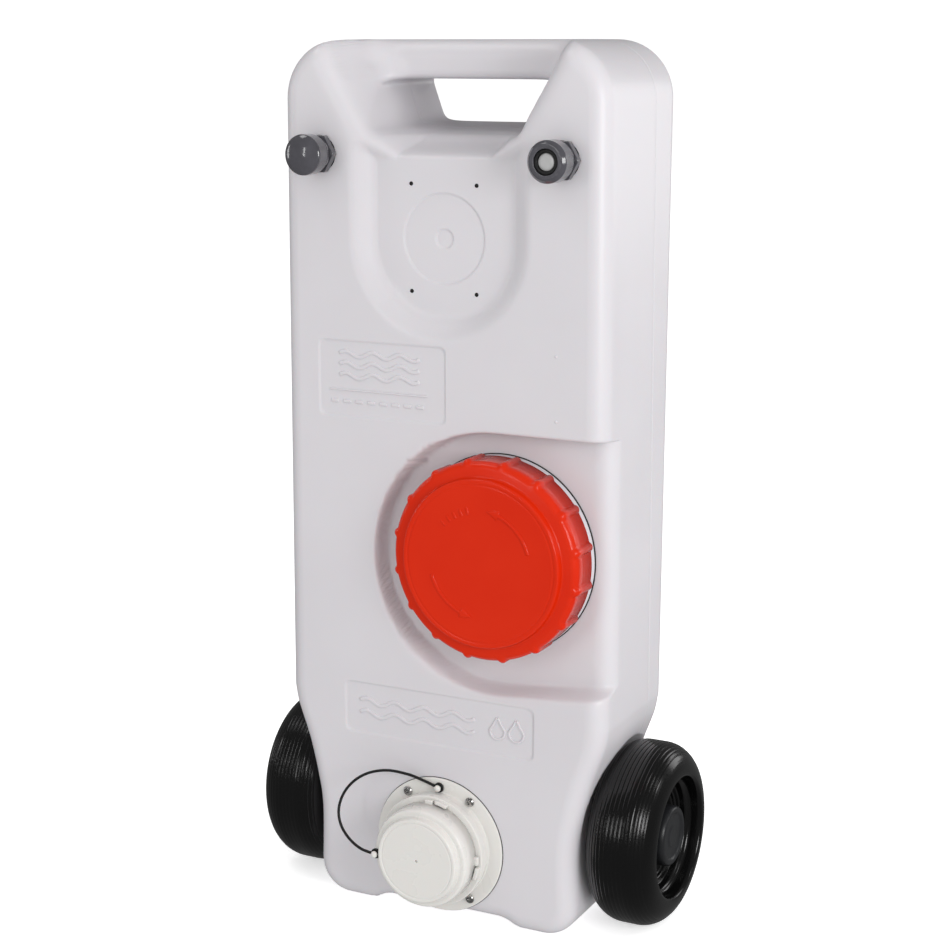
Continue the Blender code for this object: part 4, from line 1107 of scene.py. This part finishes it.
# ---------------------------------------------------------------- inspection cap and its neck
@dataclass
class InspectionCap:
    """The red screw cap, its seal, and the neck that it screws onto."""

    tank: Tank
    skirt_r: float = 0.0955
    rib_r: float = 0.0981
    ribs: int = 16
    rib_half_degrees: float = 2.7
    face_r: float = 0.0804
    face: float = -0.028
    shoulder: float = -0.020
    back: float = 0.0145
    wall: float = 0.004
    neck_r: float = 0.088
    neck_bore: float = 0.076
    neck_top: float = -0.012
    ring_r: float = 0.0957
    ring_depth: float = 0.0152
    pitch: float = 0.006
    turns: float = 2.2
    thread_r: float = 0.0013
    seal: float = 0.003
    arrow_r: float = 0.052
    arrow_proud: float = 0.0008
    arrow_width: float = 0.0034
    arrow_head: float = 0.22  # the head's share of the arrow's length
    arrow_head_width: float = 0.0115
    ticks: int = 5
    tick_radii: tuple = (0.048, 0.055)
    tick_proud: float = 0.0005
    tick_width: float = 0.0026

    def __post_init__(self) -> None:
        self.lathe = Lathe(Axis.DEPTH, Vector((self.tank.cap_x, self.tank.front, self.tank.cap_z)))

    def cap(self) -> bpy.types.Object:
        """The cap: a domed face on a shoulder, and a skirt whose ribs fade out over the shoulder.

        The radius is the turned profile's plus the rib height, times how far the point is out on the skirt.
        """
        s, under = self.skirt_r, self.neck_top - self.seal - 2 * GAP
        outside = filleted(
            [(0.0, self.face + 0.0002), (0.0745, self.face), (0.0752, self.face + 0.0003), (0.0762, self.face + 0.0003),
             (0.0769, self.face), (self.face_r, self.face), (self.face_r + 0.0015, self.shoulder - 0.0012),
             (s - 0.0035, self.shoulder), (s, self.shoulder + 0.0045), (s, self.back)],
            [0, 0.0003, 0.0003, 0.0003, 0.0003, 0.0022, 0.0016, 0.0030, 0.0020, 0], steps=6)
        inside = filleted(
            [(s, self.back), (s - self.wall, self.back), (s - self.wall, under), (self.face_r - 0.008, under),
             (self.face_r - 0.008, self.face + self.wall), (0.0, self.face + self.wall)],
            [0, 0.0008, 0.001, 0.001, 0.003, 0], steps=4)
        height = ribbed(self.ribs, self.rib_half_degrees, 360 / self.ribs / 2)
        outer_rows = len(outside)
        line = np.vstack([outside, inside[1:]])
        on_outside = (np.arange(len(line)) < outer_rows).astype(float)[:, None]

        def radius_at(radius: Array, along: Array, angle: Array) -> Array:
            out = smooth_step((radius - (s - 0.0070)) / 0.0060) * on_outside
            return radius + (self.rib_r - s) * out * height(angle)

        piece = self.lathe.turn("inspection_screw_cap", line, Finishes.CAP, self.ribs * 26, radius_at=radius_at)
        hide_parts("inspection_cap")
        return piece

    def face_y(self, x: Array, z: Array) -> Array:
        """The y of the cap's nearly flat face."""
        return np.full(np.shape(x), self.tank.front + self.face)

    def arrow(self, name: str, first: float, last: float) -> bpy.types.Object:
        """A curved arrow that shows the turning direction: a stroke along an arc whose width jumps at the head
        and then falls evenly to a point."""
        turn = np.linspace(first, last, 64)
        path = arc((self.tank.cap_x, self.tank.cap_z), self.arrow_r, first, last, 63)
        share = (turn - first) / (last - first)
        head = self.arrow_head
        width = np.where(share < 1 - head, self.arrow_width, self.arrow_head_width * (1 - share) / head)
        return ribbon(name, path, width, self.arrow_proud, self.face_y, Finishes.CAP)

    def marks(self) -> list[bpy.types.Object]:
        """Two curved arrows and a row of short radial ticks, which stand for the mark on such caps."""
        marks = [self.arrow("cap_arrow_low", 196, 262), self.arrow("cap_arrow_high", 16, 82)]
        for i in range(self.ticks):
            spoke = math.radians(104 + 8 * i)
            ends = [(self.tank.cap_x + r * math.cos(spoke), self.tank.cap_z + r * math.sin(spoke))
                    for r in self.tick_radii]
            path = np.linspace(ends[0], ends[1], 12)
            marks.append(ribbon(f"cap_tick_{i + 1}", path, self.tick_width, self.tick_proud, self.face_y,
                                Finishes.CAP))
        return marks

    def neck(self) -> list[bpy.types.Object]:
        """The neck with its foot, a thin black ring round the foot that paints the shadow line of the joint, and the
        thread.

        The thread is a tube along a helix, which sinks into the neck at both ends.
        """
        floor = self.tank.pocket_wall.depth
        section = filleted(
            [(self.neck_bore, floor + 0.006), (self.neck_bore, self.neck_top), (self.neck_r, self.neck_top),
             (self.neck_r, self.ring_depth), (self.ring_r - 0.0012, self.ring_depth), (self.ring_r, floor - 0.0012),
             (self.ring_r + 0.0002, floor + 0.006)],
            [0, 0.0015, 0.0010, 0.0015, 0.0015, 0.0005, 0], steps=5)
        neck = self.lathe.turn("tank_neck", section, Finishes.TANK, 160, closed=True)
        # Thin black ring round the neck's foot: a painted shadow line along the joint.
        edge = self.lathe.ring("neck_foot_shadow_line", (self.ring_r - 0.0004, self.ring_r + 0.0009),
                               (floor - 0.0012, floor + 0.002), 0.0004, 160, Finishes.RUBBER)
        angle = np.linspace(0, 2 * np.pi * self.turns, int(110 * self.turns))
        radius = self.neck_r + 0.0003 - 0.0015 * (1 - smooth_step(np.minimum(angle, angle[-1] - angle) / 0.5))
        along = self.neck_top + 0.004 + self.pitch * angle / (2 * np.pi)
        thread = tube("neck_thread", self.lathe.points(radius, along, angle), self.thread_r, Finishes.TANK, sides=8)
        return [neck, edge, thread]

    def build(self) -> list[bpy.types.Object]:
        """Builds the cap, its marks, the seal, the neck and its thread.

        Returns:
            The pieces.
        """
        on_cap = [self.cap(), *self.marks()]
        for piece in on_cap:
            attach(piece, "inspection_cap")
        seal = self.lathe.ring("inspection_seal_ring", (self.neck_bore, self.neck_r - 0.0005),
                               (self.neck_top - GAP - self.seal, self.neck_top - GAP), 0.0004, 128, Finishes.RUBBER)
        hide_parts("inspection_cap_seal")
        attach(seal, "inspection_seal")
        fixed = self.neck()
        for piece in fixed:
            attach(piece, "tank")
        return [*on_cap, seal, *fixed]


# ---------------------------------------------------------------- outlet
@dataclass
class Outlet:
    """The bayonet outlet at the bottom: flange, collar, spout and cap."""

    tank: Tank
    flange_r: float = 0.0685
    flange_front: float = -0.0025
    flange_back: float = 0.0024
    collar_r: float = 0.056
    collar_front: float = -0.020
    neck_r: float = 0.0545
    spout_r: float = 0.0445
    bore_r: float = 0.038
    spout_front: float = -0.036
    cap_r: float = 0.050
    disc_r: float = 0.042
    face: float = -0.050
    shoulder: float = -0.0425
    seal: float = 0.003
    catch_angles: tuple = (75.5, 165.5, 255.5, 345.5)
    lug_angles: tuple = (90.0, 180.0, 270.0, 360.0)
    catch_half: float = 7.2  # half of what a catch, and a lug, spans, in degrees
    lug_half: float = 4.8
    screw_x: float = 0.034
    screw_dz: float = 0.050

    def __post_init__(self) -> None:
        self.lathe = Lathe(Axis.DEPTH, Vector((0.0, self.tank.front, self.tank.outlet_z)))

    def block(self, name: str, angle: float, half_angle: float, radii: tuple[float, float],
              depths: tuple[float, float]) -> bpy.types.Object:
        """A rounded block between two angles, radii and depths about the outlet's axis."""
        def place(a: Array, b: Array, c: Array) -> Array:
            radius = (radii[0] + radii[1]) / 2 + b * (radii[1] - radii[0]) / 2
            along = (depths[0] + depths[1]) / 2 + c * (depths[1] - depths[0]) / 2
            return self.lathe.points(radius, along, np.radians(angle + a * half_angle))
        return pillow(name, place, Finishes.OUTLET)

    def flange(self) -> list[bpy.types.Object]:
        """The flange with its conical neck, collar and spout, its gasket, which stands just proud of the flange's rim
        as a painted shadow line, and the four catches.
        """
        section = filleted(
            [(self.bore_r, self.flange_back), (self.bore_r, self.spout_front), (self.spout_r, self.spout_front),
             (self.spout_r, self.collar_front), (self.collar_r, self.collar_front), (self.collar_r, -0.0125),
             (self.neck_r - 0.0008, -0.0108), (self.neck_r, self.flange_front), (self.flange_r, self.flange_front),
             (self.flange_r, self.flange_back)],
            [0.0002, 0.0012, 0.0012, 0.0008, 0.0012, 0.0010, 0.0008, 0.0016, 0.0012, 0.0003], steps=5, closed=True)
        flange = self.lathe.turn("outlet_flange_body", section, Finishes.OUTLET, 144, closed=True)
        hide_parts("outlet_flange")
        # The real gasket, widened to stand just outside the flange's rim: its black edge there is partly the gasket and
        # partly a painted shadow line.
        gasket = self.lathe.ring("outlet_flange_gasket_shadow_line", (self.flange_r - 0.0006, self.flange_r + 0.0005),
                                 (-0.0007, 0.0040), 0.0003, 144, Finishes.RUBBER)
        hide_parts("outlet_gasket")
        catches = [self.block(f"bayonet_catch_{i + 1}", angle, self.catch_half, (0.0509, 0.0545), (-0.0250, -0.0180))
                   for i, angle in enumerate(self.catch_angles)]
        return [flange, gasket, *catches]

    def screw(self, number: int, x: float, z: float) -> bpy.types.Object:
        """A pan-head screw with a six-sided socket: a turned dome whose socket wall follows a hexagon."""
        lathe = Lathe(Axis.DEPTH, Vector((x, self.tank.front, z)))
        head = self.flange_front - GAP
        profile = filleted(
            [(0.0, head - 0.0010), (0.00165, head - 0.0010), (0.0018, head - 0.0026), (0.0032, head - 0.0024),
             (0.0048, head - 0.0008), (0.0048, head), (0.0019, head), (0.0019, 0.0160), (0.0, 0.0175)],
            [0, 0.0001, 0.0002, 0.0008, 0.0004, 0.0002, 0.0001, 0.0004, 0], steps=4)

        def radius_at(radius: Array, along: Array, angle: Array) -> Array:
            socket = (radius < 0.0019) & (along < head - 0.0001)
            return np.where(socket, radius * hexagonal(angle) * 0.92, radius)

        piece = lathe.turn(f"flange_screw_{number}", profile, Finishes.STEEL, 36, radius_at=radius_at)
        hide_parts(f"outlet_screw_{number}")
        return piece

    def cap(self) -> list[bpy.types.Object]:
        """The cap with its raised disc and centre pip, and its four lugs."""
        under = self.spout_front - self.seal - 2 * GAP
        line = np.vstack([filleted(
            [(0.0, self.face + 0.0022), (0.0011, self.face + 0.0021), (0.0015, self.face + 0.0002),
             (0.0370, self.face + 0.0002), (0.0376, self.face + 0.0005), (0.0384, self.face + 0.0005),
             (0.0390, self.face), (self.disc_r, self.face), (self.disc_r + 0.0012, self.shoulder),
             (self.cap_r - 0.0012, self.shoulder), (self.cap_r, self.shoulder + 0.0050),
             (self.cap_r, self.collar_front - GAP)],
            [0, 0.0002, 0.0002, 0.0003, 0.0003, 0.0003, 0.0003, 0.0022, 0.0012, 0.0028, 0.0012, 0], steps=5),
            filleted([(self.cap_r, self.collar_front - GAP), (self.spout_r + 0.0012, self.collar_front - GAP),
                      (self.spout_r + 0.0012, under), (0.036, under), (0.036, self.face + 0.004),
                      (0.0, self.face + 0.004)], [0, 0.0003, 0.0005, 0.0005, 0.001, 0], steps=3)[1:]])
        cap = self.lathe.turn("outlet_bayonet_cap", line, Finishes.OUTLET, 144)
        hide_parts("outlet_cap")
        lugs = [self.block(f"bayonet_lug_{i + 1}", angle, self.lug_half, (self.cap_r - 0.0030, 0.0535),
                           (-0.0245, -0.0208)) for i, angle in enumerate(self.lug_angles)]
        return [cap, *lugs]

    def pin(self, word: str, node_end: str, body: str, boss: bool) -> list[bpy.types.Object]:
        """A ball-headed pin and the eyelet round it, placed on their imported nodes."""
        pin_low, pin_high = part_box(f"tether_pin_{node_end}")
        eye_low, eye_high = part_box(f"tether_eye_{node_end}")
        centre = Vector(((pin_low.x + pin_high.x) / 2, 0.0, (pin_low.z + pin_high.z) / 2))
        lathe = Lathe(Axis.DEPTH, centre)
        ball, stem = (pin_high.x - pin_low.x) / 2 + 0.0008, 0.0018
        first = math.degrees(math.asin(stem / ball))
        turn = np.radians(np.linspace(180, first, 14))
        head = np.stack([ball * np.sin(turn), pin_low.y + 0.8 * ball * (1 + np.cos(turn))], axis=1)
        pin = lathe.turn(f"tether_{word}_pin", [*head, (stem, pin_high.y), (0.0, pin_high.y)], Finishes.OUTLET, 28)
        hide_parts(f"tether_pin_{node_end}")
        outer, inner = (eye_high.x - eye_low.x) / 2 + 0.0006, 0.0023
        eye = lathe.ring(f"tether_{word}_eyelet", (inner, outer), (eye_low.y, eye_high.y), 0.0006, 36,
                         Finishes.RUBBER, steps=4)
        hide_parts(f"tether_eye_{node_end}")
        pieces = [pin, eye]
        if boss:
            near, far = eye_high.y + GAP, self.tank.front + self.shoulder + 0.0029
            knob = filleted([(0.0, near), (outer + 0.0002, near), (outer + 0.0002, far), (0.0, far)],
                            [0, 0.0006, 0.0006, 0], steps=4)
            pieces.append(lathe.turn("cap_pin_boss", knob, Finishes.OUTLET, 36))
        for piece in pieces:
            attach(piece, body)
        return pieces

    def build(self) -> list[bpy.types.Object]:
        """Builds everything at the outlet.

        Returns:
            The pieces.
        """
        fixed = self.flange()
        places = [(x, self.tank.outlet_z + dz) for x in (-self.screw_x, self.screw_x)
                  for dz in (-self.screw_dz, self.screw_dz)]
        fixed += [self.screw(i + 1, x, z) for i, (x, z) in enumerate(places)]
        for piece in fixed:
            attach(piece, "tank")
        turning = self.cap()
        for piece in turning:
            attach(piece, "outlet_cap")
        seal = self.lathe.ring("outlet_seal_ring", (self.bore_r, self.spout_r),
                               (self.spout_front - GAP - self.seal, self.spout_front - GAP), 0.0004, 96,
                               Finishes.RUBBER)
        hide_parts("outlet_cap_seal")
        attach(seal, "outlet_seal")
        pins = self.pin("flange", "flange", "tank", boss=False) + self.pin("cap", "cap", "outlet_cap", boss=True)
        return [*fixed, *turning, seal, *pins]


# ---------------------------------------------------------------- glands
@dataclass
class Gland:
    """One screw gland: hexagonal body, gasket and either an open nut round a plug or a closed domed cap."""

    tank: Tank
    word: str
    side: int
    hex_half: float = 0.017
    hex_front: float = -0.0090
    nut_r: float = 0.0190
    nut_bore: float = 0.0141
    stem_r: float = 0.0135
    stem_front: float = -0.0215
    bore_r: float = 0.006
    mouth_r: float = 0.0117
    plug_r: float = 0.0080
    front: float = -0.036
    dome_front: float = -0.038

    def __post_init__(self) -> None:
        low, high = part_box(f"gland_body_{self.word}")
        centre = Vector(((low.x + high.x) / 2, self.tank.front, (low.z + high.z) / 2))
        self.lathe = Lathe(Axis.DEPTH, centre)

    def body(self) -> list[bpy.types.Object]:
        """The fixed body, whose base is a hexagon with chamfered corners, and the gasket behind it.

        In the base the radius is the profile's times the hexagon's, but no more than the chamfer allows.
        """
        base = -0.0018
        line = filleted(
            [(self.bore_r, 0.013), (self.bore_r, self.stem_front), (self.stem_r, self.stem_front),
             (self.stem_r, self.hex_front), (self.hex_half, self.hex_front), (self.hex_half, base), (0.0098, base),
             (0.0098, 0.013)],
            [0.0003, 0.0004, 0.0004, 0.0004, 0.0007, 0.0005, 0.0003, 0.0003], steps=4, closed=True)

        def radius_at(radius: Array, along: Array, angle: Array) -> Array:
            hexed = radius * hexagonal(angle)
            to_end = np.minimum(along - self.hex_front, base - along)
            chamfer = self.hex_half * 1.07 + to_end * 1.6
            in_base = (radius > self.stem_r + 0.0006) & (along >= self.hex_front - 1e-6) & (along <= base + 1e-6)
            return np.where(in_base, np.minimum(hexed, np.minimum(chamfer, self.hex_half * 1.135)), radius)

        body = self.lathe.turn(f"gland_base_{self.word}", line, Finishes.GLAND, 144, closed=True, radius_at=radius_at)
        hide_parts(f"gland_body_{self.word}")
        gasket = self.lathe.ring(f"gland_gasket_ring_{self.word}", (0.0102, self.hex_half + 0.0003),
                                 (-0.0015, -0.0003), 0.0003, 64, Finishes.RUBBER)
        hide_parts(f"gland_gasket_{self.word}")
        return [body, gasket]

    def skirt(self) -> list[tuple[float, float]]:
        """The part of the nut's section that both sides share: bore, back edge, waist and full width."""
        back = self.hex_front - 0.0003
        return [(self.nut_bore, back), (self.nut_r - 0.0026, back), (self.nut_r - 0.0014, back - 0.0050),
                (self.nut_r - 0.0022, back - 0.0062), (self.nut_r, back - 0.0085)]

    def fluted(self, radius: Array, along: Array, angle: Array) -> Array:
        """Shallow grip flutes on the nut's widest part: the radius falls by half a millimetre between ribs."""
        height = ribbed(count=12, half_width=15.0, offset=0.0)
        wide = smooth_step((radius - (self.nut_r - 0.0009)) / 0.0006)
        deep = smooth_step((-0.0175 - along) / 0.002) * smooth_step((along - self.front - 0.0045) / 0.002)
        return radius - 0.0005 * wide * deep * (1 - height(angle))

    def open_nut(self) -> list[bpy.types.Object]:
        """The nut with a flat face round its mouth, the rubber ring in it and the blanking plug."""
        f, m = self.front, self.mouth_r
        corners = [*self.skirt(), (self.nut_r, f + 0.0032), (self.nut_r - 0.0030, f), (m, f), (m, f + 0.007),
                   (self.nut_bore, f + 0.013)]
        sizes = [0.0003, 0.0004, 0.0004, 0.0004, 0.0006, 0.0008, 0.0008, 0.0005, 0.0005, 0.0005]
        nut = self.lathe.turn("gland_open_nut", filleted(corners, sizes, closed=True), Finishes.GLAND, 144,
                              closed=True, radius_at=self.fluted)
        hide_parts("gland_nut_right")
        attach(nut, "gland_nut_right")
        root, p = self.stem_front - 0.0005, self.plug_r
        seal_line = filleted(
            [(p + 0.0002, root), (m - 0.0003, root), (m - 0.0003, f + 0.0008), (p + 0.0002, f + 0.0008)],
            [0.0003, 0.0003, 0.0012, 0.0010], closed=True)
        seal = self.lathe.turn("gland_rubber_ring", seal_line, Finishes.RUBBER, 72, closed=True)
        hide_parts("gland_seal_right")
        plug_line = filleted([(0.0, f + 0.0004), (p - 0.0022, f + 0.0004), (p, f + 0.0022), (p, root), (0.0, root)],
                             [0, 0.0015, 0.0014, 0.0003, 0])
        plug = self.lathe.turn("gland_blanking_plug", plug_line, Finishes.PLUG, 72)
        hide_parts("gland_plug_right")
        for piece in (seal, plug):
            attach(piece, "gland_core_right")
        return [nut, seal, plug]

    def domed_cap(self) -> list[bpy.types.Object]:
        """The closed cap, a shallow dome on a smooth barrel, and the flat seal under it."""
        f = self.dome_front
        inside = f + 0.004
        dome_r = self.nut_r - 0.0022
        share = np.linspace(1, 0, 14)
        dome = np.stack([dome_r * share, f + 0.0042 * share**2], axis=1)
        skirt = self.skirt()
        side = filleted([*skirt, (self.nut_r, f + 0.0066), tuple(dome[1])],
                        [0.0003, 0.0004, 0.0004, 0.0004, 0.0006, 0.0014, 0])
        end = filleted([(0.0, inside), (self.nut_bore - 0.001, inside), (self.nut_bore, inside + 0.002), skirt[0]],
                       [0, 0.0005, 0.0005, 0])
        cap = self.lathe.turn("gland_domed_cap", np.vstack([side, dome[2:], end]), Finishes.GLAND, 144)
        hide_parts("gland_cap_left")
        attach(cap, "gland_cap_left")
        far = self.stem_front - GAP
        seal = self.lathe.ring("gland_flat_seal", (self.bore_r, self.stem_r - 0.0001), (far - 0.0027, far), 0.0003, 64,
                               Finishes.RUBBER, steps=5)
        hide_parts("gland_seal_left")
        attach(seal, "gland_core_left")
        return [cap, seal]

    def build(self) -> list[bpy.types.Object]:
        """Builds the gland.

        Returns:
            The pieces.
        """
        fixed = self.body()
        for piece in fixed:
            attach(piece, "tank")
        return fixed + (self.open_nut() if self.side > 0 else self.domed_cap())


# ---------------------------------------------------------------- wheels
@dataclass
class Wheel:
    """One blow-moulded wheel with its snap-on hub cap."""

    word: str
    side: int
    inner_x: float = 0.145
    outer_x: float = 0.216
    shoulder: float = 0.028
    rim_r: float = 0.062
    web_x: float = 0.190
    bore_r: float = 0.009
    hub_x: float = 0.198
    hub_r: float = 0.030
    hub_front: float = 0.210
    grooves: int = 15
    groove_depth: float = 0.00036
    groove_pitch: float = 0.0043
    groove_half: float = 0.0011

    def __post_init__(self) -> None:
        low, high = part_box(f"wheel_{self.word}")
        centre = Vector((0.0, (low.y + high.y) / 2, (low.z + high.z) / 2))
        self.lathe = Lathe(Axis.WIDTH, centre, float(self.side))

    def tyre(self) -> bpy.types.Object:
        """The wheel's skin: inner face, tread with fine grooves, rolled rim, dished outer face and hub."""
        inner = arc((self.rim_r, self.inner_x + self.shoulder), self.shoulder, -90, 0, 16)
        outer = arc((self.rim_r, self.outer_x - self.shoulder), self.shoulder, 0, 90, 16)
        tread = np.vstack([inner, outer])
        length = float(np.linalg.norm(np.diff(tread, axis=0), axis=1).sum())
        places = length / 2 + (np.arange(self.grooves) - (self.grooves - 1) / 2) * self.groove_pitch
        tread = grooved(tread, places, self.groove_half, self.groove_depth)
        face = filleted(
            [(self.rim_r + 0.001, self.outer_x), (0.0595, self.outer_x - 0.0010), (0.0575, self.outer_x - 0.0130),
             (0.0535, self.outer_x - 0.0150), (0.0520, self.outer_x - 0.0215), (0.0460, self.outer_x - 0.0220),
             (0.0445, self.web_x), (0.0160, self.web_x), (0.0150, self.hub_x), (self.bore_r, self.hub_x)],
            [0, 0.0040, 0.0028, 0.0016, 0.0016, 0.0016, 0.0016, 0.0008, 0.0006, 0], steps=6)
        disc = filleted([(self.bore_r, self.inner_x), (0.0185, self.inner_x), (0.0200, self.inner_x + 0.0012),
                         (0.0500, self.inner_x + 0.0012), (0.0520, self.inner_x), (self.rim_r, self.inner_x)],
                        [0, 0.0006, 0.0008, 0.0008, 0.0008, 0], steps=4)
        line = np.vstack([disc, tread[1:], face[1:]])
        piece = self.lathe.turn(f"wheel_tyre_{self.word}", line, Finishes.WHEEL, 160, closed=True)
        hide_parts(f"wheel_{self.word}")
        return piece

    def hub(self) -> bpy.types.Object:
        """The hub cap: a shallow dish inside a rolled edge."""
        f, r, seat = self.hub_front, self.hub_r, self.web_x + 0.0003
        outside = filleted([(0.0, f - 0.0012), (0.0100, f - 0.0012), (0.0125, f - 0.0022), (0.0215, f - 0.0022),
                            (0.0240, f), (r - 0.0020, f - 0.0004), (r, f - 0.0040), (r, seat)],
                           [0, 0.0012, 0.0012, 0.0015, 0.0014, 0.0020, 0.0020, 0], steps=6)
        inside = [(r - 0.003, seat), (r - 0.003, f - 0.007), (0.0, f - 0.006)]
        piece = self.lathe.turn(f"wheel_hub_cap_{self.word}", np.vstack([outside, inside]), Finishes.HUB, 96)
        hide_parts(f"hub_cap_{self.word}")
        return piece

    def build(self) -> list[bpy.types.Object]:
        """Builds the wheel.

        Returns:
            The pieces.
        """
        pieces = [self.tyre(), self.hub()]
        for piece in pieces:
            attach(piece, f"wheel_{self.word}")
        return pieces


def dress_nodes(nodes: dict[str, bpy.types.Object]) -> None:
    """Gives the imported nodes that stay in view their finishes."""
    finishes = {
        "axle": Finishes.STEEL, "axle_washer": Finishes.STEEL, "axle_clip": Finishes.STEEL,
        "wheel_bush": Finishes.NYLON, "gland_locknut": Finishes.GLAND,
    }
    for name, node in nodes.items():
        for start, finish in finishes.items():
            if name.startswith(start) and not node.hide_render:
                node.data.materials.clear()
                node.data.materials.append(Finishes.material(finish))


# ---------------------------------------------------------------- tether
@dataclass
class Tether:
    """The springy cord between the flange's pin and the cap's, in two lengths that meet halfway."""

    diameter: float = 0.0028
    route: tuple = (
        (-0.0038, -0.0703, 0.1382), (-0.0160, -0.0720, 0.1425), (-0.0300, -0.0750, 0.1470),
        (-0.0500, -0.0800, 0.1495), (-0.0680, -0.0860, 0.1460), (-0.0820, -0.0915, 0.1370),
        (-0.0910, -0.0970, 0.1240), (-0.0937, -0.1020, 0.1090), (-0.0890, -0.1060, 0.0950),
        (-0.0780, -0.1090, 0.0838), (-0.0645, -0.1110, 0.0770), (-0.0525, -0.1115, 0.0748),
    )

    def build(self) -> list[bpy.types.Object]:
        """Carries the cord's tube along its route, in two lengths cut at the middle.

        Returns:
            The pieces.
        """
        path = smoothed(self.route, 16)
        walked = np.concatenate(([0.0], np.cumsum(np.linalg.norm(np.diff(path, axis=0), axis=1))))
        even = np.linspace(0, walked[-1], 121)
        path = np.stack([np.interp(even, walked, path[:, i]) for i in range(3)], axis=1)
        middle = len(path) // 2
        pieces = []
        bodies = (("tank", "outlet_seal"), ("outlet_seal", "outlet_cap"))
        for word, part, (near, far) in zip(("upper", "lower"), (path[:middle + 1], path[middle:]), bodies):
            piece = tube(f"tether_{word}_length", part, self.diameter / 2, Finishes.RUBBER, sides=14)
            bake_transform(piece)
            pieces.append(piece)
        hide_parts("tether_cord")
        return pieces


# ---------------------------------------------------------------- studio
@dataclass(frozen=True)
class Studio:
    """Camera, soft lights and the pale floor."""

    place: tuple[float, float, float] = (0.8634, -1.6974, 0.8450)
    azimuth: float = 26.81
    elevation: float = 12.16
    lens_mm: float = 75.7
    reflected_room: float = 0.16  # how bright the room's dark cloths look in reflections

    def camera(self) -> None:
        """Puts the camera at its place, looking down on the tote from the front right."""
        data = bpy.data.cameras.new("camera")
        data.lens = self.lens_mm
        data.sensor_width = 36.0
        data.clip_start, data.clip_end = 0.05, 40.0
        camera = bpy.data.objects.new("camera", data)
        turn, tilt = math.radians(self.azimuth), math.radians(self.elevation)
        back = Vector((math.sin(turn) * math.cos(tilt), -math.cos(turn) * math.cos(tilt), math.sin(tilt)))
        camera.location = Vector(self.place)
        camera.rotation_mode = "QUATERNION"
        camera.rotation_quaternion = (-back).to_track_quat("-Z", "Y")
        bpy.context.scene.collection.objects.link(camera)
        bpy.context.scene.camera = camera

    @staticmethod
    def softbox(name: str, place: tuple[float, float, float], target: tuple[float, float, float],
                size: tuple[float, float], watts: float) -> None:
        """An area light of a width and a height at a place, turned towards a target."""
        data = bpy.data.lights.new(name, "AREA")
        data.shape = "RECTANGLE"
        data.size, data.size_y = size
        data.energy = watts
        lamp = bpy.data.objects.new(name, data)
        lamp.location = place
        lamp.rotation_mode = "QUATERNION"
        lamp.rotation_quaternion = (Vector(target) - Vector(place)).to_track_quat("-Z", "Y")
        bpy.context.scene.collection.objects.link(lamp)

    def light(self) -> None:
        """A room that is bright towards the front right, and six soft lights.

        Matt surfaces see the bright room, glossy ones its dark cloths, and the camera plain white.
        """
        white = 1.05  # just past white, so that the ground shows no edge
        world = bpy.data.worlds.new("white_room")
        world.use_nodes = True
        tree = world.node_tree
        direction = add_node(tree, "TexCoord").outputs["Generated"]
        side = add_node(tree, "VectorMath", {"operation": "DOT_PRODUCT", 1: (0.78, -0.60, -0.12)}, {0: direction})
        strength = add_node(tree, "MapRange", {
            "interpolation_type": "SMOOTHSTEP", "From Min": -0.9, "From Max": 0.9, "To Min": 0.40, "To Max": white,
        }, {"Value": side.outputs["Value"]})
        path = add_node(tree, "LightPath")
        reflected = add_node(tree, "Mix", {"data_type": "FLOAT", 3: self.reflected_room},
                             {0: path.outputs["Is Glossy Ray"], 2: strength.outputs["Result"]})
        seen = add_node(tree, "Mix", {"data_type": "FLOAT", 3: white},
                        {0: path.outputs["Is Camera Ray"], 2: reflected.outputs[0]})
        tree.links.new(seen.outputs[0], tree.nodes["Background"].inputs["Strength"])
        tree.nodes["Background"].inputs["Color"].default_value = linear("#FFFFFF")
        bpy.context.scene.world = world
        bpy.context.scene.view_settings.view_transform = "Standard"
        middle = (0.0, 0.0, 0.42)
        for name, place, size, watts in (
                ("key", (1.95, -1.15, 0.90), (0.8, 0.8), 18.5), ("rim", (1.9, 0.6, 1.2), (0.35, 0.35), 2.5),
                ("overhead", (-0.8, -0.5, 2.3), (0.6, 0.6), 4), ("behind", (1.3, 2.1, 0.9), (0.9, 0.9), 5.5),
                ("window", (-0.63, -2.36, 1.0), (0.16, 1.0), 4), ("strip", (-2.3, -0.7, 0.9), (0.16, 1.0), 3)):
            self.softbox(name, place, middle, size, watts)

    def floor(self) -> None:
        """A wide pale floor."""
        finish = Finish("matte_white_paper", "#FFFFFF", "#FDFDFD", 0.8, "", grain_height_mm=0.0, patch_mm=900,
                        glow=0.55)
        mesh = bpy.data.meshes.new("studio_floor")
        reach = 14.0
        mesh.from_pydata([(-reach, -reach, 0), (reach, -reach, 0), (reach, reach, 0), (-reach, reach, 0)], [],
                         [(0, 1, 2, 3)])
        mesh.materials.append(finish.build())
        floor = bpy.data.objects.new("studio_floor", mesh)
        bpy.context.scene.collection.objects.link(floor)
        floor.visible_diffuse = floor.visible_glossy = False  # the room alone lights the tote


# ---------------------------------------------------------------- the whole tote
def main() -> None:
    """Builds the tote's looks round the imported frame."""
    logging.basicConfig(level=logging.INFO, format="%(name)s %(message)s")
    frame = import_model()
    studio = Studio()
    studio.camera()
    pieces = list(Tether().build())
    tank = Tank.from_frame()
    pieces += tank.build()
    for fitting in (TankMarks, InspectionCap, Outlet):
        pieces += fitting(tank).build()
    for word, side in (("left", -1), ("right", 1)):
        pieces += Gland(tank, word, side).build()
        pieces += Wheel(word, side).build()
    dress_nodes(frame["nodes"])
    for piece in pieces:
        report(piece)
    studio.light()
    studio.floor()


if __name__ == "__main__":
    main()
